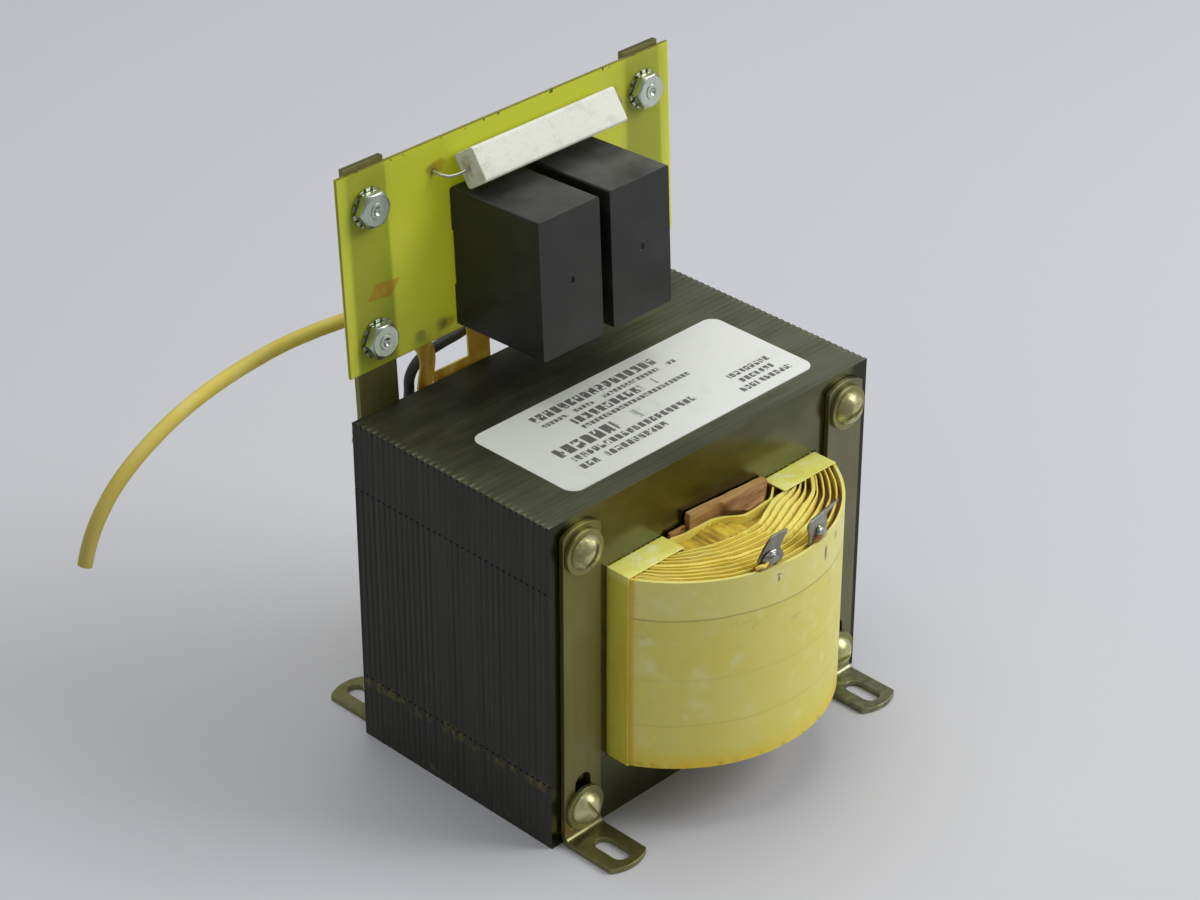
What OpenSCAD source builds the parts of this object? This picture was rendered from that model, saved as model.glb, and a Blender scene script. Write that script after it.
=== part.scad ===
// Open-frame power transformer with interleaved E and I laminations, a layer-wound coil,
// clamp straps with slotted feet, and a small circuit board on the two rear straps.
// Millimetres. The front is -Y, the feet stand on z = 0, and the origin is under the core's centre.

/* [Core] */
// Width of the centre leg that carries the coil
tongue_w = 38.1; // [34:0.1:44]
// Width of each outer leg
leg_w = 19.05; // [16:0.05:24]
// Width of each window
window_w = 19.05; // [17:0.05:24]
// Height of each window
window_h = 57.15; // [50:0.05:70]
// Height of the top and bottom yokes
yoke_h = 19.05; // [17:0.05:24]
// Depth of the stack of laminations
stack = 69.85; // [60:0.05:80]
// Pairs of lamination groups, each pair turned end for end
group_pairs = 34; // [10:1:40]
// Sideways step between neighbouring groups
group_step = 0.3; // [0.1:0.1:0.8]
// Gap where an E meets its I
joint_gap = 0.2; // [0.1:0.05:0.4]

/* [Coil] */
// Gap between the coil's ends and the yokes
coil_end_gap = 0.8; // [0.4:0.1:1.5]
// Gap between the centre leg and the former
former_gap = 0.3; // [0.1:0.1:0.6]
// Wall of the former
former_t = 0.7; // [0.6:0.1:2]
// Layers in the inner winding
inner_layers = 5; // [3:1:7]
// Layers in the outer winding
outer_layers = 5; // [3:1:7]
// Thickness of the paper between layers
paper_t = 0.35; // [0.2:0.05:0.6]
// Thickness of the barrier between the windings
barrier_t = 0.9; // [0.5:0.1:1.2]
// Thickness of the outer wrap
wrap_t = 0.8; // [0.4:0.1:1.2]
// Gap between the wrap and the outer legs
wrap_gap = 0.7; // [0.5:0.1:1.5]
// Paper left standing above and below the wire
margin = 3; // [1.5:0.5:5]
// Clearance on each side of a wire layer
wire_gap = 0.05; // [0.02:0.01:0.1]
// How far the wrap reaches out of the core's front
front_reach = 29.6; // [26:0.2:34]
// How far the wrap reaches out of the core's back
back_reach = 24; // [22:0.2:30]
// How far the wrap's flat sides run past the core before they curve
flat_run = 7.6; // [7:0.1:9]
// How far the wrap's flat sides run past the core's back
back_flat_run = 2.5; // [2:0.1:4]
// How far the first wire layer's flat sides run past the core's front
first_run = 6.6; // [6:0.1:7.2]
// Crown of the first wire layer
first_crown = 4.3; // [3:0.1:5]
// Depth of the crinkled filler below the coil's end
filler_drop = 2.6; // [1:0.1:4]
// Width of the crinkled filler between the former and the first wire layer
filler_w = 34; // [24:0.5:36]
// Depth of the margin strips below the coil's end, on the left
fill_drop = 0.5; // [0.2:0.1:1]
// Fall of the margin strips to the right, in degrees
fill_fall = 1.8; // [0.5:0.1:2]
// Sideways place where the margin strips end
fill_to = 10; // [0:1:12]
// Sideways place where the outermost margin strip ends
last_fill_to = -14; // [-20:1:-13]
// Width of a corner tape
tape_w = 7.2; // [5:0.1:7.4]
// Thickness of a corner tape
tape_t = 0.4; // [0.2:0.1:0.8]
// How far a tape runs in over the coil's end
tape_run = 19; // [12:0.5:19]

/* [Wedges] */
// Width of the wooden wedge
wedge_w = 28.5; // [24:0.5:29]
// Thickness of the wedge's block
wedge_t = 6.4; // [5:0.1:6.6]
// Thickness of the wedge's thin end
wedge_end_t = 2.2; // [1.5:0.1:3]
// Taper of the wedge's front, in degrees
wedge_taper = 2.5; // [1:0.1:4]
// Fall of the wedge's top to the right, in degrees
wedge_fall = 3.7; // [0:0.1:6]
// Fall of the wedge's broken top to the front, in degrees
break_fall = 28; // [10:1:40]
// How far the wedge stands above the coil
wedge_rise = 4.2; // [1:0.1:6]
// Sideways place of the wedge's middle
wedge_x = 3.2; // [2:0.1:4]
// Width of the wooden shim
shim_w = 6; // [4:0.5:6]
// Thickness of the shim
shim_t = 1.4; // [1:0.1:2]
// How far the shim stands above the coil
shim_rise = 1; // [0:0.5:3]
// Clearance round the wedge and the shim
wedge_gap = 0.2; // [0.1:0.1:0.4]

/* [Terminals] */
// Thickness of a solder terminal
lug_t = 0.8; // [0.5:0.1:0.9]
// Width of a terminal at its root
lug_w = 4.6; // [3:0.2:5]
// Width of the left terminal's fin
fin_w = 7.6; // [5:0.2:9]
// Height of the fin above the coil
fin_h = 8.8; // [6:0.2:12]
// Height of the right terminal's blade above the coil
blade_h = 6.8; // [5:0.2:10]
// How far the blade's tip reaches to the right
blade_reach = 10.8; // [6:0.2:12]
// Turn of the left terminal round the coil's front, in degrees
lug_left = -13; // [-16:1:-8]
// Turn of the right terminal round the coil's front, in degrees
lug_right = 9; // [4:1:16]

/* [Straps] */
// Width of a strap
strap_w = 12.7; // [10:0.1:14]
// Thickness of a strap
strap_t = 1.6; // [1:0.1:2.5]
// Inside radius of the bend at the foot
strap_bend = 1.6; // [0.8:0.2:2]
// Height of the front straps
front_strap_h = 93.2; // [88:0.2:94]
// How far the rear straps rise above the core
upright_h = 67.4; // [60:0.2:80]
// Backward lean of the rear straps above the core, in degrees
upright_lean = 2.5; // [0:0.5:4]
// How far a foot reaches out from the core
foot_reach = 19.6; // [18:0.1:26]
// Crown of a foot's tip and of a front strap's top
tip_crown = 2; // [1:0.1:3]
// Width of the slot in a foot
foot_slot_w = 5; // [4:0.1:6]
// Length of the slot in a foot
foot_slot_l = 10.4; // [8:0.1:11]
// Distance from the core to the middle of a foot's slot
foot_slot_at = 11.9; // [10:0.1:12]
// Travel of the slot at a strap's lower bolt
adjust_run = 7.3; // [4:0.1:12]

/* [Core bolts] */
// Diameter of the bolts
bolt_d = 4.8; // [4:0.1:5.5]
// Clearance round a bolt
bolt_gap = 0.25; // [0.1:0.05:0.5]
// Diameter of a bolt's head
head_d = 9.4; // [8:0.1:11]
// Height of a bolt's head
head_h = 3.2; // [2:0.1:4]
// Width of the driver slot
head_slot_w = 1.2; // [0.8:0.1:1.6]
// Depth of the driver slot
head_slot_h = 1.5; // [0.8:0.1:1.8]
// Diameter of the flat washers
washer_d = 12.2; // [10:0.1:12.6]
// Thickness of the flat washers
washer_t = 1.2; // [0.8:0.1:2]
// Width of a core nut across its flats
nut_af = 9.5; // [8:0.1:11]
// Height of a core nut
nut_h = 3.4; // [2.5:0.1:5]
// Diameter of a lock washer
lock_d = 8.8; // [8:0.1:10]
// Thickness of a lock washer
lock_t = 1.2; // [0.8:0.1:1.6]
// Bolt left standing out of its nut
bolt_tail = 2.5; // [1:0.5:5]

/* [Board] */
// Width of the circuit board
board_w = 114.3; // [110:0.1:120]
// Height of the circuit board
board_h = 54; // [53:0.1:56]
// Thickness of the circuit board
board_t = 0.8; // [0.6:0.1:2.4]
// Height of the board's lower edge above the core
board_lift = 12.2; // [8:0.1:13]
// Diameter of the board screws
screw_d = 4.2; // [3.5:0.1:4.6]
// Clearance round a board screw
screw_gap = 0.2; // [0.1:0.05:0.4]
// Height of the lower board screws above the core
screw_low = 20.3; // [18:0.1:22]
// Height from the lower to the upper board screws
screw_pitch = 35.6; // [32:0.1:38]
// Diameter of a board screw's head
screw_head_d = 7.8; // [6:0.1:9]
// Height of a board screw's head
screw_head_h = 2.6; // [1.5:0.1:3.5]
// Width of a board nut across its flats
board_nut_af = 8.7; // [7:0.1:9.5]
// Height of a board nut
board_nut_h = 2.6; // [2:0.1:4]
// Diameter of a toothed washer
star_d = 10.5; // [9.5:0.1:12]
// Thickness of a toothed washer
star_t = 0.5; // [0.4:0.1:1]
// Dish of a toothed washer
star_dish = 0.4; // [0.2:0.1:0.8]
// Teeth round a toothed washer
star_teeth = 14; // [8:1:18]
// Screw left standing out of its nut
screw_tail = 0.2; // [0.2:0.2:2]
// Depth of the dimple in a screw's end
dimple_h = 0.9; // [0.4:0.1:1.2]
// Diameter of that dimple
dimple_d = 2.4; // [1:0.1:3]

/* [Capacitors] */
// Width of a capacitor
cap_w = 21; // [16:0.1:22]
// Height of a capacitor
cap_h = 38.2; // [34:0.1:40]
// Depth of a capacitor
cap_d = 31.5; // [24:0.1:34]
// Gap between the two capacitors
cap_gap = 3.6; // [1:0.1:6]
// Sideways place of the pair's middle
cap_x = 1.6; // [0:0.1:3]
// Height of the capacitors above the board's lower edge
cap_lift = 1.4; // [0.5:0.1:3]
// Radius of a capacitor's corners
cap_r = 0.9; // [0.4:0.1:2]
// Depth of the relief between a capacitor's pads
pad_relief = 0.5; // [0.2:0.1:1]
// Height of that relief
pad_relief_h = 15; // [10:0.5:20]
// Distance between a capacitor's pins
pin_pitch = 27.5; // [22:0.5:28]
// Diameter of a pin
pin_d = 1; // [0.6:0.1:1.2]

/* [Resistor] */
// Length of the resistor
res_l = 49.5; // [40:0.5:52]
// Depth of the resistor's section
res_t = 8; // [6:0.1:10]
// Height of the resistor's section
res_h = 9.5; // [8:0.1:11]
// Radius of the resistor's corners
res_r = 0.8; // [0.3:0.1:1.5]
// Lean of the resistor towards the board, in degrees
res_tilt = 32; // [20:1:40]
// Sideways place of the resistor's middle
res_x = 5.5; // [3:0.5:8]
// Diameter of the resistor's wires
wire_d = 0.8; // [0.6:0.1:1]
// How far the wires reach past the resistor's ends
wire_reach = 6.9; // [5:0.1:9]

/* [Leads and label] */
// Diameter of the free yellow lead
cord_d = 3.8; // [3:0.1:4]
// Diameter of the black lead
black_d = 2.8; // [2:0.1:3]
// Width of the left amber strip
strip_w = 5; // [3:0.1:6]
// Thickness of the amber strips
strip_t = 0.6; // [0.4:0.1:0.8]
// Width of the folded amber strip
fold_w = 7.4; // [5:0.1:8]
// Width of the label
label_w = 87.5; // [60:0.5:95]
// Depth of the label
label_l = 36.5; // [20:0.5:38]
// Thickness of the label
label_t = 0.2; // [0.1:0.05:0.4]
// Radius of the label's corners
label_r = 3.5; // [1:0.5:6]
// Sideways place of the label's middle
label_x = 1.5; // [0:0.5:4]
// Distance from the core's middle forward to the label's middle
label_y = 9.8; // [8:0.2:12]

/* [Hidden] */
$fn = 48;
bow_fn = 360;
core_w = tongue_w + 2 * window_w + 2 * leg_w;
core_h = window_h + 2 * yoke_h;
core_front = stack / 2;
groups = 2 * group_pairs;
group_t = stack / groups;
i_h = yoke_h - joint_gap / 2;
e_tip = core_h - yoke_h - joint_gap / 2;
bolt_x = core_w / 2 - leg_w / 2;
bolt_low = yoke_h / 2;
bolt_high = core_h - yoke_h / 2;
bolt_hole_r = bolt_d / 2 + bolt_gap;
cut = 1;

coil_low = yoke_h + coil_end_gap;
coil_h = window_h - 2 * coil_end_gap;
coil_high = coil_low + coil_h;
layers = inner_layers + outer_layers;
former_in_x = tongue_w / 2 + former_gap;
former_x = former_in_x + former_t;
wrap_out_x = tongue_w / 2 + window_w - wrap_gap;
wrap_in_x = wrap_out_x - wrap_t;
former_back = core_front + former_gap + former_t;
former_steps = 60;
first_front = core_front + first_run;
wrap_front = core_front + flat_run;
wrap_back = core_front + back_flat_run;
lap = 3;
wedge_left = wedge_x - wedge_w / 2;
block_from = 0.58;
block_to = 0.79;

strap_r = strap_t + strap_bend;
tip_r = (pow(strap_w / 2, 2) + pow(tip_crown, 2)) / (2 * tip_crown);
head_r = (pow(head_d / 2, 2) + pow(head_h, 2)) / (2 * head_h);
screw_head_r = (pow(screw_head_d / 2, 2) + pow(screw_head_h, 2)) / (2 * screw_head_h);
nut_face = 0.88;
nut_chamfer = 35;
star_h = star_t + star_dish;
screw_hole_r = screw_d / 2 + screw_gap;
cap_low = board_lift + cap_lift;
cap_top = cap_low + cap_h;
pin_hole_r = pin_d / 2 + 0.15;
wire_hole_r = wire_d / 2 + 0.2;
seat_gap = 0.1;
joint_r = 1.9;
joint_h = 1.3;
joint_gap_r = 0.02;
driver_angles = [[-60, 50], [5, 20]];

// Board places of the joints that hold the black, left amber and folded amber leads, and the yellow lead
black_joint = [4, 17];
strip_joint = [-33.4, 15];
fold_joint = [-13.6, 15];
cord_joint = [-26, 15.5];

// A place out behind a joint's own place on the board, and a place measured from the core's top rear edge
function behind_board(place, out) = [place[0],
    core_front + place[1] * sin(upright_lean) + out * cos(upright_lean),
    core_h + place[1] * cos(upright_lean) - out * sin(upright_lean)];
function from_edge(p) = [p[0], core_front + p[1], core_h + p[2]];

// Route of the yellow lead from its joint on the board's back to its cut end, measured from the joint
cord_path = [
    [0, 0, 0], [-0.3, 3.1, 0], [-1.2, 6.1, 0.1], [-2.7, 8.9, 0.2], [-4.7, 11.3, 0.3], [-7.1, 13.3, 0.4],
    [-9.9, 14.8, 0.5], [-13.4, 15.8, 0.6], [-20, 16.7, 0.7], [-27, 17.6, 0.6], [-35, 18.6, 0],
    [-44, 19.4, -1.3], [-53, 20, -3.1], [-61.5, 20.3, -5.3], [-69, 20.4, -7.9], [-76, 20.4, -11.1],
    [-82.3, 20.4, -14.7], [-87.6, 20.4, -18.7], [-92, 20.4, -23.3], [-95.5, 20.4, -28.3],
    [-97.6, 20.4, -32.7], [-99, 20.4, -36.7]
];
cord_route = [for (p = cord_path) behind_board(cord_joint, joint_h + seat_gap) + p];

// Route of the black lead from the coil's end, over the core's rear edge, to the board's back
black_route = concat(
    [[-33, core_front + 6.6, coil_high + seat_gap]],
    [for (p = [[-33, 6.6, -11.2], [-32.6, 6.1, -4.2], [-32, 6.1, 0.8], [-28, 6.1, 4.4], [-22, 6.1, 5.6],
        [-14, 6.1, 6.4], [-6, 6.5, 8.2], [0, 7.5, 11.8]]) from_edge(p)],
    [for (out = [4.6, 2.1, seat_gap]) behind_board(black_joint, joint_h + out)]
);

// Route of the left amber strip from the coil's end to the board's back
strip_route = concat(
    [[-30, core_front + 3.1, coil_high + seat_gap]],
    [for (p = [[-30, 3.1, -9], [-29.6, 3.3, -2], [-28.6, 3.4, 2.3], [-28.5, 3.3, 5.8], [-30, 3, 9.6]])
        from_edge(p)],
    [behind_board(strip_joint, joint_h + strip_t / 2 + seat_gap)]
);

// Even groups have their yoke at the top, odd groups at the bottom
function group_shift(i) = (i % 2 == 0 ? 1 : -1) * group_step / 2;
function group_y(i) = -core_front + i * group_t;

// Plan of a band through the whole stack, stepped sideways from group to group
function stepped_band(x0, x1) = concat(
    [for (i = [0:groups - 1]) for (k = [0, 1]) [x1 + group_shift(i), group_y(i + k)]],
    [for (i = [groups - 1:-1:0]) for (k = [1, 0]) [x0 + group_shift(i), group_y(i + k)]]
);

function mix(a, b, t) = a + (b - a) * t;
function arc_r(half_chord, rise) = (pow(half_chord, 2) + pow(rise, 2)) / (2 * rise);

// Sizes of the coil's plan at a share t of its build, from the former's outside to the wrap's inside
function coil_x(t) = mix(former_x, wrap_in_x, t);
function coil_front_side(t) = mix(first_front, wrap_front, t);
function coil_back_side(t) = mix(former_back, wrap_back, t);
function coil_front(t) = mix(first_front + first_crown, core_front + front_reach - wrap_t, t);
function coil_back(t) = mix(former_back + first_crown, core_front + back_reach - wrap_t, t);

// How far the inside of the former's front wall stands from the core's middle, pushed out by the wedge's block
function ease(a, b, x) = let (t = min(max((x - a) / (b - a), 0), 1)) t * t * (3 - 2 * t);
function block_share(x) = ease(block_from - 0.35, block_from - 0.03, x)
    * (1 - ease(block_to + 0.04, block_to + 0.3, x));
function former_wall(x) = let (along = (x - wedge_left) / wedge_w) core_front + 2 * wedge_gap
    + mix(shim_t, wedge_end_t, ease(-0.18, -0.02, along)) + (wedge_t - wedge_end_t) * block_share(along);

// A closed sweep of a flat section along a route
function unit(v) = v / norm(v);
function heading(p, i) = unit(p[min(i + 1, len(p) - 1)] - p[max(i - 1, 0)]);
function ring(p, i, section, side) = let (
    h = heading(p, i),
    a = unit(cross(h, side)),
    b = cross(h, a)
) [for (s = section) p[i] + s[0] * a + s[1] * b];
function round_section(d) = [for (k = [0:9]) d / 2 * [cos(36 * k), sin(36 * k)]];

// A smooth route through the points of a coarse one
function between(p, i, t) = let (
    a = p[max(i - 1, 0)],
    b = p[i],
    c = p[i + 1],
    d = p[min(i + 2, len(p) - 1)]
) (2 * b + (c - a) * t + (2 * a - 5 * b + 4 * c - d) * t * t + (3 * b - a - 3 * c + d) * t * t * t) / 2;
function smooth(p, steps) = concat(
    [for (i = [0:len(p) - 2]) for (k = [0:steps - 1]) between(p, i, k / steps)], [p[len(p) - 1]]);

module sweep(p, section, side) {
    n = len(section);
    last = len(p) - 1;
    points = [for (i = [0:last]) each ring(p, i, section, side)];
    walls = [for (i = [0:last - 1]) for (j = [0:n - 1])
        [i * n + j, (i + 1) * n + j, (i + 1) * n + (j + 1) % n, i * n + (j + 1) % n]];
    start = [for (j = [0:n - 1]) j];
    end = [for (j = [n - 1:-1:0]) last * n + j];
    polyhedron(points, concat([start], walls, [end]));
}

// Everything on the leaning uprights: y = 0 is their front face, z = 0 is level with the core's top
module on_uprights() {
    translate([0, core_front, core_h]) rotate([-upright_lean, 0, 0]) children();
}

module at_bolts() {
    for (x = [-bolt_x, bolt_x]) for (z = [bolt_low, bolt_high]) translate([x, 0, z]) children();
}

module at_board_screws() {
    on_uprights()
        for (x = [-bolt_x, bolt_x]) for (z = [screw_low, screw_low + screw_pitch])
            translate([x, 0, z]) children();
}

// Turns a shape that stands on +Z so that it stands out of the front or out of the back
module to_front() { rotate([90, 0, 0]) children(); }
module to_back() { rotate([-90, 0, 0]) children(); }

module ring_solid(outer_d, inner_d, h) {
    difference() {
        cylinder(d = outer_d, h = h);
        translate([0, 0, -cut]) cylinder(d = inner_d, h = h + 2 * cut);
    }
}

module dome(d, h, sphere_r) {
    rotate_extrude() intersection() {
        translate([0, h - sphere_r]) circle(sphere_r);
        square([d / 2, h]);
    }
}

module hex_nut(flats, h, bore) {
    corner = flats / sqrt(3);
    face = nut_face * flats / 2;
    reach = corner + cut;
    drop = (reach - face) * tan(nut_chamfer);
    difference() {
        intersection() {
            cylinder(r = corner, h = h, $fn = 6);
            rotate_extrude() polygon([[0, 0], [reach, 0], [reach, h - drop], [face, h], [0, h]]);
        }
        translate([0, 0, -cut]) cylinder(d = bore, h = h + 2 * cut);
    }
}

module rounded_rect(w, h, r) {
    square([w - 2 * r, h], center = true);
    square([w, h - 2 * r], center = true);
    for (x = [-1, 1]) for (y = [-1, 1]) translate([x * (w / 2 - r), y * (h / 2 - r)]) circle(r);
}

module stadium(length, width) {
    square([length - width, width], center = true);
    for (x = [-1, 1]) translate([x * (length - width) / 2, 0]) circle(d = width);
}

module bolt_holes() {
    at_bolts() to_front() cylinder(r = bolt_hole_r, h = stack + 2 * cut, center = true);
}

module e_laminations() {
    inner = tongue_w / 2;
    color("#3c3f38") difference() {
        linear_extrude(core_h) polygon(stepped_band(-core_w / 2, core_w / 2));
        for (x = [-inner - window_w, inner])
            translate([0, 0, yoke_h]) linear_extrude(window_h) polygon(stepped_band(x, x + window_w));
        for (i = [0:groups - 1])
            translate([-core_w, group_y(i), i % 2 == 0 ? -cut : e_tip])
                cube([2 * core_w, group_t, core_h - e_tip + cut]);
        bolt_holes();
    }
}

module i_laminations() {
    color("#454940") difference() {
        for (i = [0:groups - 1])
            translate([group_shift(i) - core_w / 2, group_y(i), i % 2 == 0 ? 0 : core_h - i_h])
                cube([core_w, group_t, i_h]);
        bolt_holes();
    }
}

// A filled plan with flat sides and bowed ends, grown outwards all round
module bowed_plan(x, front_side, back_side, front, back, grow) {
    wide = x + grow;
    front_r = arc_r(x, front - front_side);
    back_r = arc_r(x, back - back_side);
    translate([-wide, lap - front_side]) square([2 * wide, front_side + back_side - 2 * lap]);
    intersection() {
        translate([0, front_r - front]) circle(front_r + grow, $fn = bow_fn);
        translate([-wide, -2 * front]) square([2 * wide, 2 * front]);
    }
    intersection() {
        translate([0, back - back_r]) circle(back_r + grow, $fn = bow_fn);
        translate([-wide, 0]) square([2 * wide, 2 * back]);
    }
}

// Plan of the former: a wavy front wall, flat sides and a flat back
module former_plan(half, front_grow, back) {
    polygon(concat(
        [for (k = [0:former_steps]) let (x = mix(-half, half, k / former_steps))
            [x, -former_wall(x) - front_grow]],
        [[half, back], [-half, back]]));
}

// Plan of the coil at a share t of its build
module coil_plan(t, grow) {
    bowed_plan(coil_x(t), coil_front_side(t), coil_back_side(t), coil_front(t), coil_back(t), grow);
}

module coil_ring(t0, grow0, t1, grow1, low, h) {
    difference() {
        translate([0, 0, low]) linear_extrude(h) coil_plan(t1, grow1);
        translate([0, 0, low - cut]) linear_extrude(h + 2 * cut) coil_plan(t0, grow0);
    }
}

function paper_grow(i) = i == 0 ? 0 : i == inner_layers ? barrier_t : paper_t;

module wire_layer(i) {
    coil_ring(i / layers, paper_grow(i) + wire_gap, (i + 1) / layers, -wire_gap,
        coil_low + margin, coil_h - 2 * margin);
}

module paper(i) {
    coil_ring(i / layers, 0, i / layers, paper_grow(i), coil_low, coil_h);
}

module coil_former() {
    color("#b9a23c") difference() {
        translate([0, 0, coil_low]) linear_extrude(coil_h) former_plan(former_x, former_t, former_back);
        translate([0, 0, coil_low - cut]) linear_extrude(coil_h + 2 * cut)
            former_plan(former_in_x, 0, former_back - former_t);
    }
}

// Crinkled paper packed into the crescent between the former and the first wire layer
module crinkled_filler() {
    low = coil_low + margin;
    h = coil_h - margin - filler_drop;
    color("#b89b2a") difference() {
        translate([0, 0, low]) linear_extrude(h) coil_plan(0, -seat_gap);
        translate([0, 0, low - cut]) linear_extrude(h + 2 * cut)
            former_plan(former_x + cut, former_t + seat_gap, 2 * former_back);
        for (side = [-1, 1]) translate([side * (filler_w / 2 + former_x), 0, low + h / 2])
            cube([2 * former_x, 4 * first_front, 2 * h], center = true);
    }
}

module inner_winding() {
    color("#a9682c") for (i = [0:inner_layers - 1]) wire_layer(i);
}

module winding_barrier() {
    color("#d8b94a") paper(inner_layers);
}

module outer_winding() {
    color("#b5742f") for (i = [inner_layers:layers - 1]) wire_layer(i);
}

module layer_papers() {
    color("#e0c355") for (i = [1:layers - 1]) if (i != inner_layers) paper(i);
}

// Strips between the papers over the wire's upper end, which fall away to the right
module margin_strips() {
    low = coil_high - margin + seat_gap;
    reach = 4 * wrap_out_x;
    color("#d9b84a") for (i = [0:layers - 1]) difference() {
        coil_ring(i / layers, paper_grow(i) + wire_gap, (i + 1) / layers, -wire_gap, low, margin);
        translate([-wrap_in_x, 0, coil_high - fill_drop]) rotate([0, fill_fall, 0])
            translate([-reach, -reach, 0]) cube(2 * reach);
        translate([i == layers - 1 ? last_fill_to : fill_to, -reach, coil_low]) cube(2 * reach);
    }
}

module outer_wrap() {
    color("#cfc46a") coil_ring(1, 0, 1, wrap_t, coil_low, coil_h);
}

// Tape over the coil's end, down its flat side and under it, on the left or the right of the front
module corner_tape(side) {
    out = wrap_out_x + tape_t;
    across = tape_run + tape_t;
    y = -core_front - flat_run + (flat_run - tape_w) / 2;
    translate([0, y, 0]) mirror([side < 0 ? 1 : 0, 0, 0]) difference() {
        translate([out - across, 0, coil_low - tape_t]) cube([across, tape_w, coil_h + 2 * tape_t]);
        translate([out - across - cut, -cut, coil_low])
            cube([across + cut - tape_t, tape_w + 2 * cut, coil_h]);
    }
}

module left_corner_tape() { color("#e6d660") corner_tape(-1); }

module right_corner_tape() { color("#e6d660") corner_tape(1); }

// Plan of the wedge from its thin end, a share of its width and its depth in front of the core
wedge_plan = [[0, 0], [wedge_w, 0], [wedge_w, wedge_end_t], [wedge_w * block_to, wedge_t],
    [wedge_w * block_from, wedge_t], [wedge_w * 0.39, wedge_end_t], [0, wedge_end_t]];

// A broken stick with a block on its right, its top falling to the right and to the front
module wood_wedge() {
    reach = 2 * wedge_w;
    top = coil_high + wedge_rise;
    color("#9a6a45") translate([wedge_left, -core_front - wedge_gap, 0]) difference() {
        translate([0, 0, coil_low]) mirror([0, 1, 0]) linear_extrude(coil_h + wedge_rise) polygon(wedge_plan);
        translate([0, 0, top]) rotate([0, wedge_fall, 0]) translate([-reach, -reach, 0]) cube(2 * reach);
        translate([0, -wedge_end_t, top]) rotate([break_fall, wedge_fall, 0]) translate([-reach, -reach, 0])
            cube(2 * reach);
        translate([0, -wedge_t, coil_high]) rotate([wedge_taper, 0, 0])
            translate([-reach, -2 * reach, -3 * reach]) cube([3 * reach, 2 * reach, 3 * reach]);
    }
}

module wood_shim() {
    color("#8a5c3c") translate([wedge_left - wedge_gap - shim_w, -core_front - wedge_gap - shim_t, coil_low])
        cube([shim_w, shim_t, coil_h + shim_rise]);
}

// A tinned tongue that stands on the last wire layer, between its paper and the wrap
module terminal(turn, outline) {
    t = (layers - 0.5) / layers;
    front = coil_front(t) + paper_t / 2;
    r = arc_r(coil_x(t), coil_front(t) - coil_front_side(t)) + paper_t / 2;
    translate([0, r - front, coil_high - margin]) rotate(turn) translate([0, lug_t / 2 - r, 0]) to_front()
        linear_extrude(lug_t) polygon(concat([[-lug_w / 2, 0], [lug_w / 2, 0], [lug_w / 2, margin]], outline,
            [[-lug_w / 2, margin]]));
}

// A fin that swells above the coil and leans to a point on its right
module left_terminal() {
    shares = [[0.47, 0.05], [0.59, 0.2], [0.54, 0.34], [0.44, 0.47], [0.46, 0.6], [0.55, 0.75], [0.73, 1],
        [0.42, 0.98], [0.15, 0.93], [-0.03, 0.8], [-0.17, 0.62], [-0.31, 0.41], [-0.41, 0.25], [-0.4, 0.08]];
    color("#a9acab") terminal(lug_left, [for (p = shares) [p[0] * fin_w, margin + p[1] * fin_h]]);
}

// A blade that is bent over to the right and tapers to a point
module right_terminal() {
    shares = [[0.4, 0.12], [0.53, 0.36], [0.5, 0.6], [0.47, 0.78], [0.86, 0.93], [1, 1], [0.35, 0.99],
        [-0.12, 0.98], [-0.24, 0.84], [-0.26, 0.72], [-0.2, 0.45], [-0.21, 0.15]];
    color("#a9acab") terminal(lug_right, [for (p = shares) [p[0] * blade_reach, margin + p[1] * blade_h]]);
}

// What lies beyond a shallow arc whose top is at the origin
module crown_cut() {
    difference() {
        translate([-strap_w, -tip_crown - cut]) square([2 * strap_w, tip_crown + 2 * cut]);
        translate([0, -tip_r]) circle(tip_r);
    }
}

// Side view of a strap below its plate's outline: x runs out from the core, y runs up
module strap_profile(plate) {
    polygon(plate);
    translate([strap_r, 0]) square([foot_reach - strap_r, strap_t]);
    intersection() {
        square(strap_r);
        difference() {
            translate([strap_r, strap_r]) circle(strap_r);
            translate([strap_r, strap_r]) circle(strap_bend);
        }
    }
}

// Side view of the plate of a front strap, and of a rear strap that leans back above the core
front_plate = [[0, strap_r], [strap_t, strap_r], [strap_t, front_strap_h], [0, front_strap_h]];
rear_plate = let (
    out = sin(upright_lean),
    up = cos(upright_lean),
    mitre = strap_t * tan(upright_lean / 2)
) [[0, strap_r], [strap_t, strap_r], [strap_t, core_h - mitre],
    [strap_t * up + upright_h * out, core_h + upright_h * up - strap_t * out],
    [upright_h * out, core_h + upright_h * up], [0, core_h]];

// A strap with its slotted foot and its bolt holes, standing on the core's back face
module strap(plate) {
    difference() {
        rotate([90, 0, 90]) linear_extrude(strap_w, center = true) strap_profile(plate);
        translate([0, foot_reach, -cut]) linear_extrude(strap_t + 2 * cut) crown_cut();
        translate([0, foot_slot_at, -cut]) linear_extrude(strap_t + 2 * cut)
            rotate(90) stadium(foot_slot_l, foot_slot_w);
        translate([0, -cut, bolt_high]) to_back() cylinder(r = bolt_hole_r, h = strap_t + 2 * cut);
        translate([0, -cut, bolt_low + adjust_run / 2]) to_back() linear_extrude(strap_t + 2 * cut)
            rotate(90) stadium(adjust_run + 2 * bolt_hole_r, 2 * bolt_hole_r);
    }
}

module front_strap(x) {
    translate([x, -core_front, 0]) mirror([0, 1, 0]) difference() {
        strap(front_plate);
        translate([0, strap_t + cut, front_strap_h]) to_front() linear_extrude(strap_t + 2 * cut) crown_cut();
    }
}

module rear_strap(x) {
    difference() {
        translate([x, core_front, 0]) strap(rear_plate);
        at_board_screws() to_front() cylinder(r = screw_hole_r, h = 4 * strap_t, center = true);
    }
}

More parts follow.
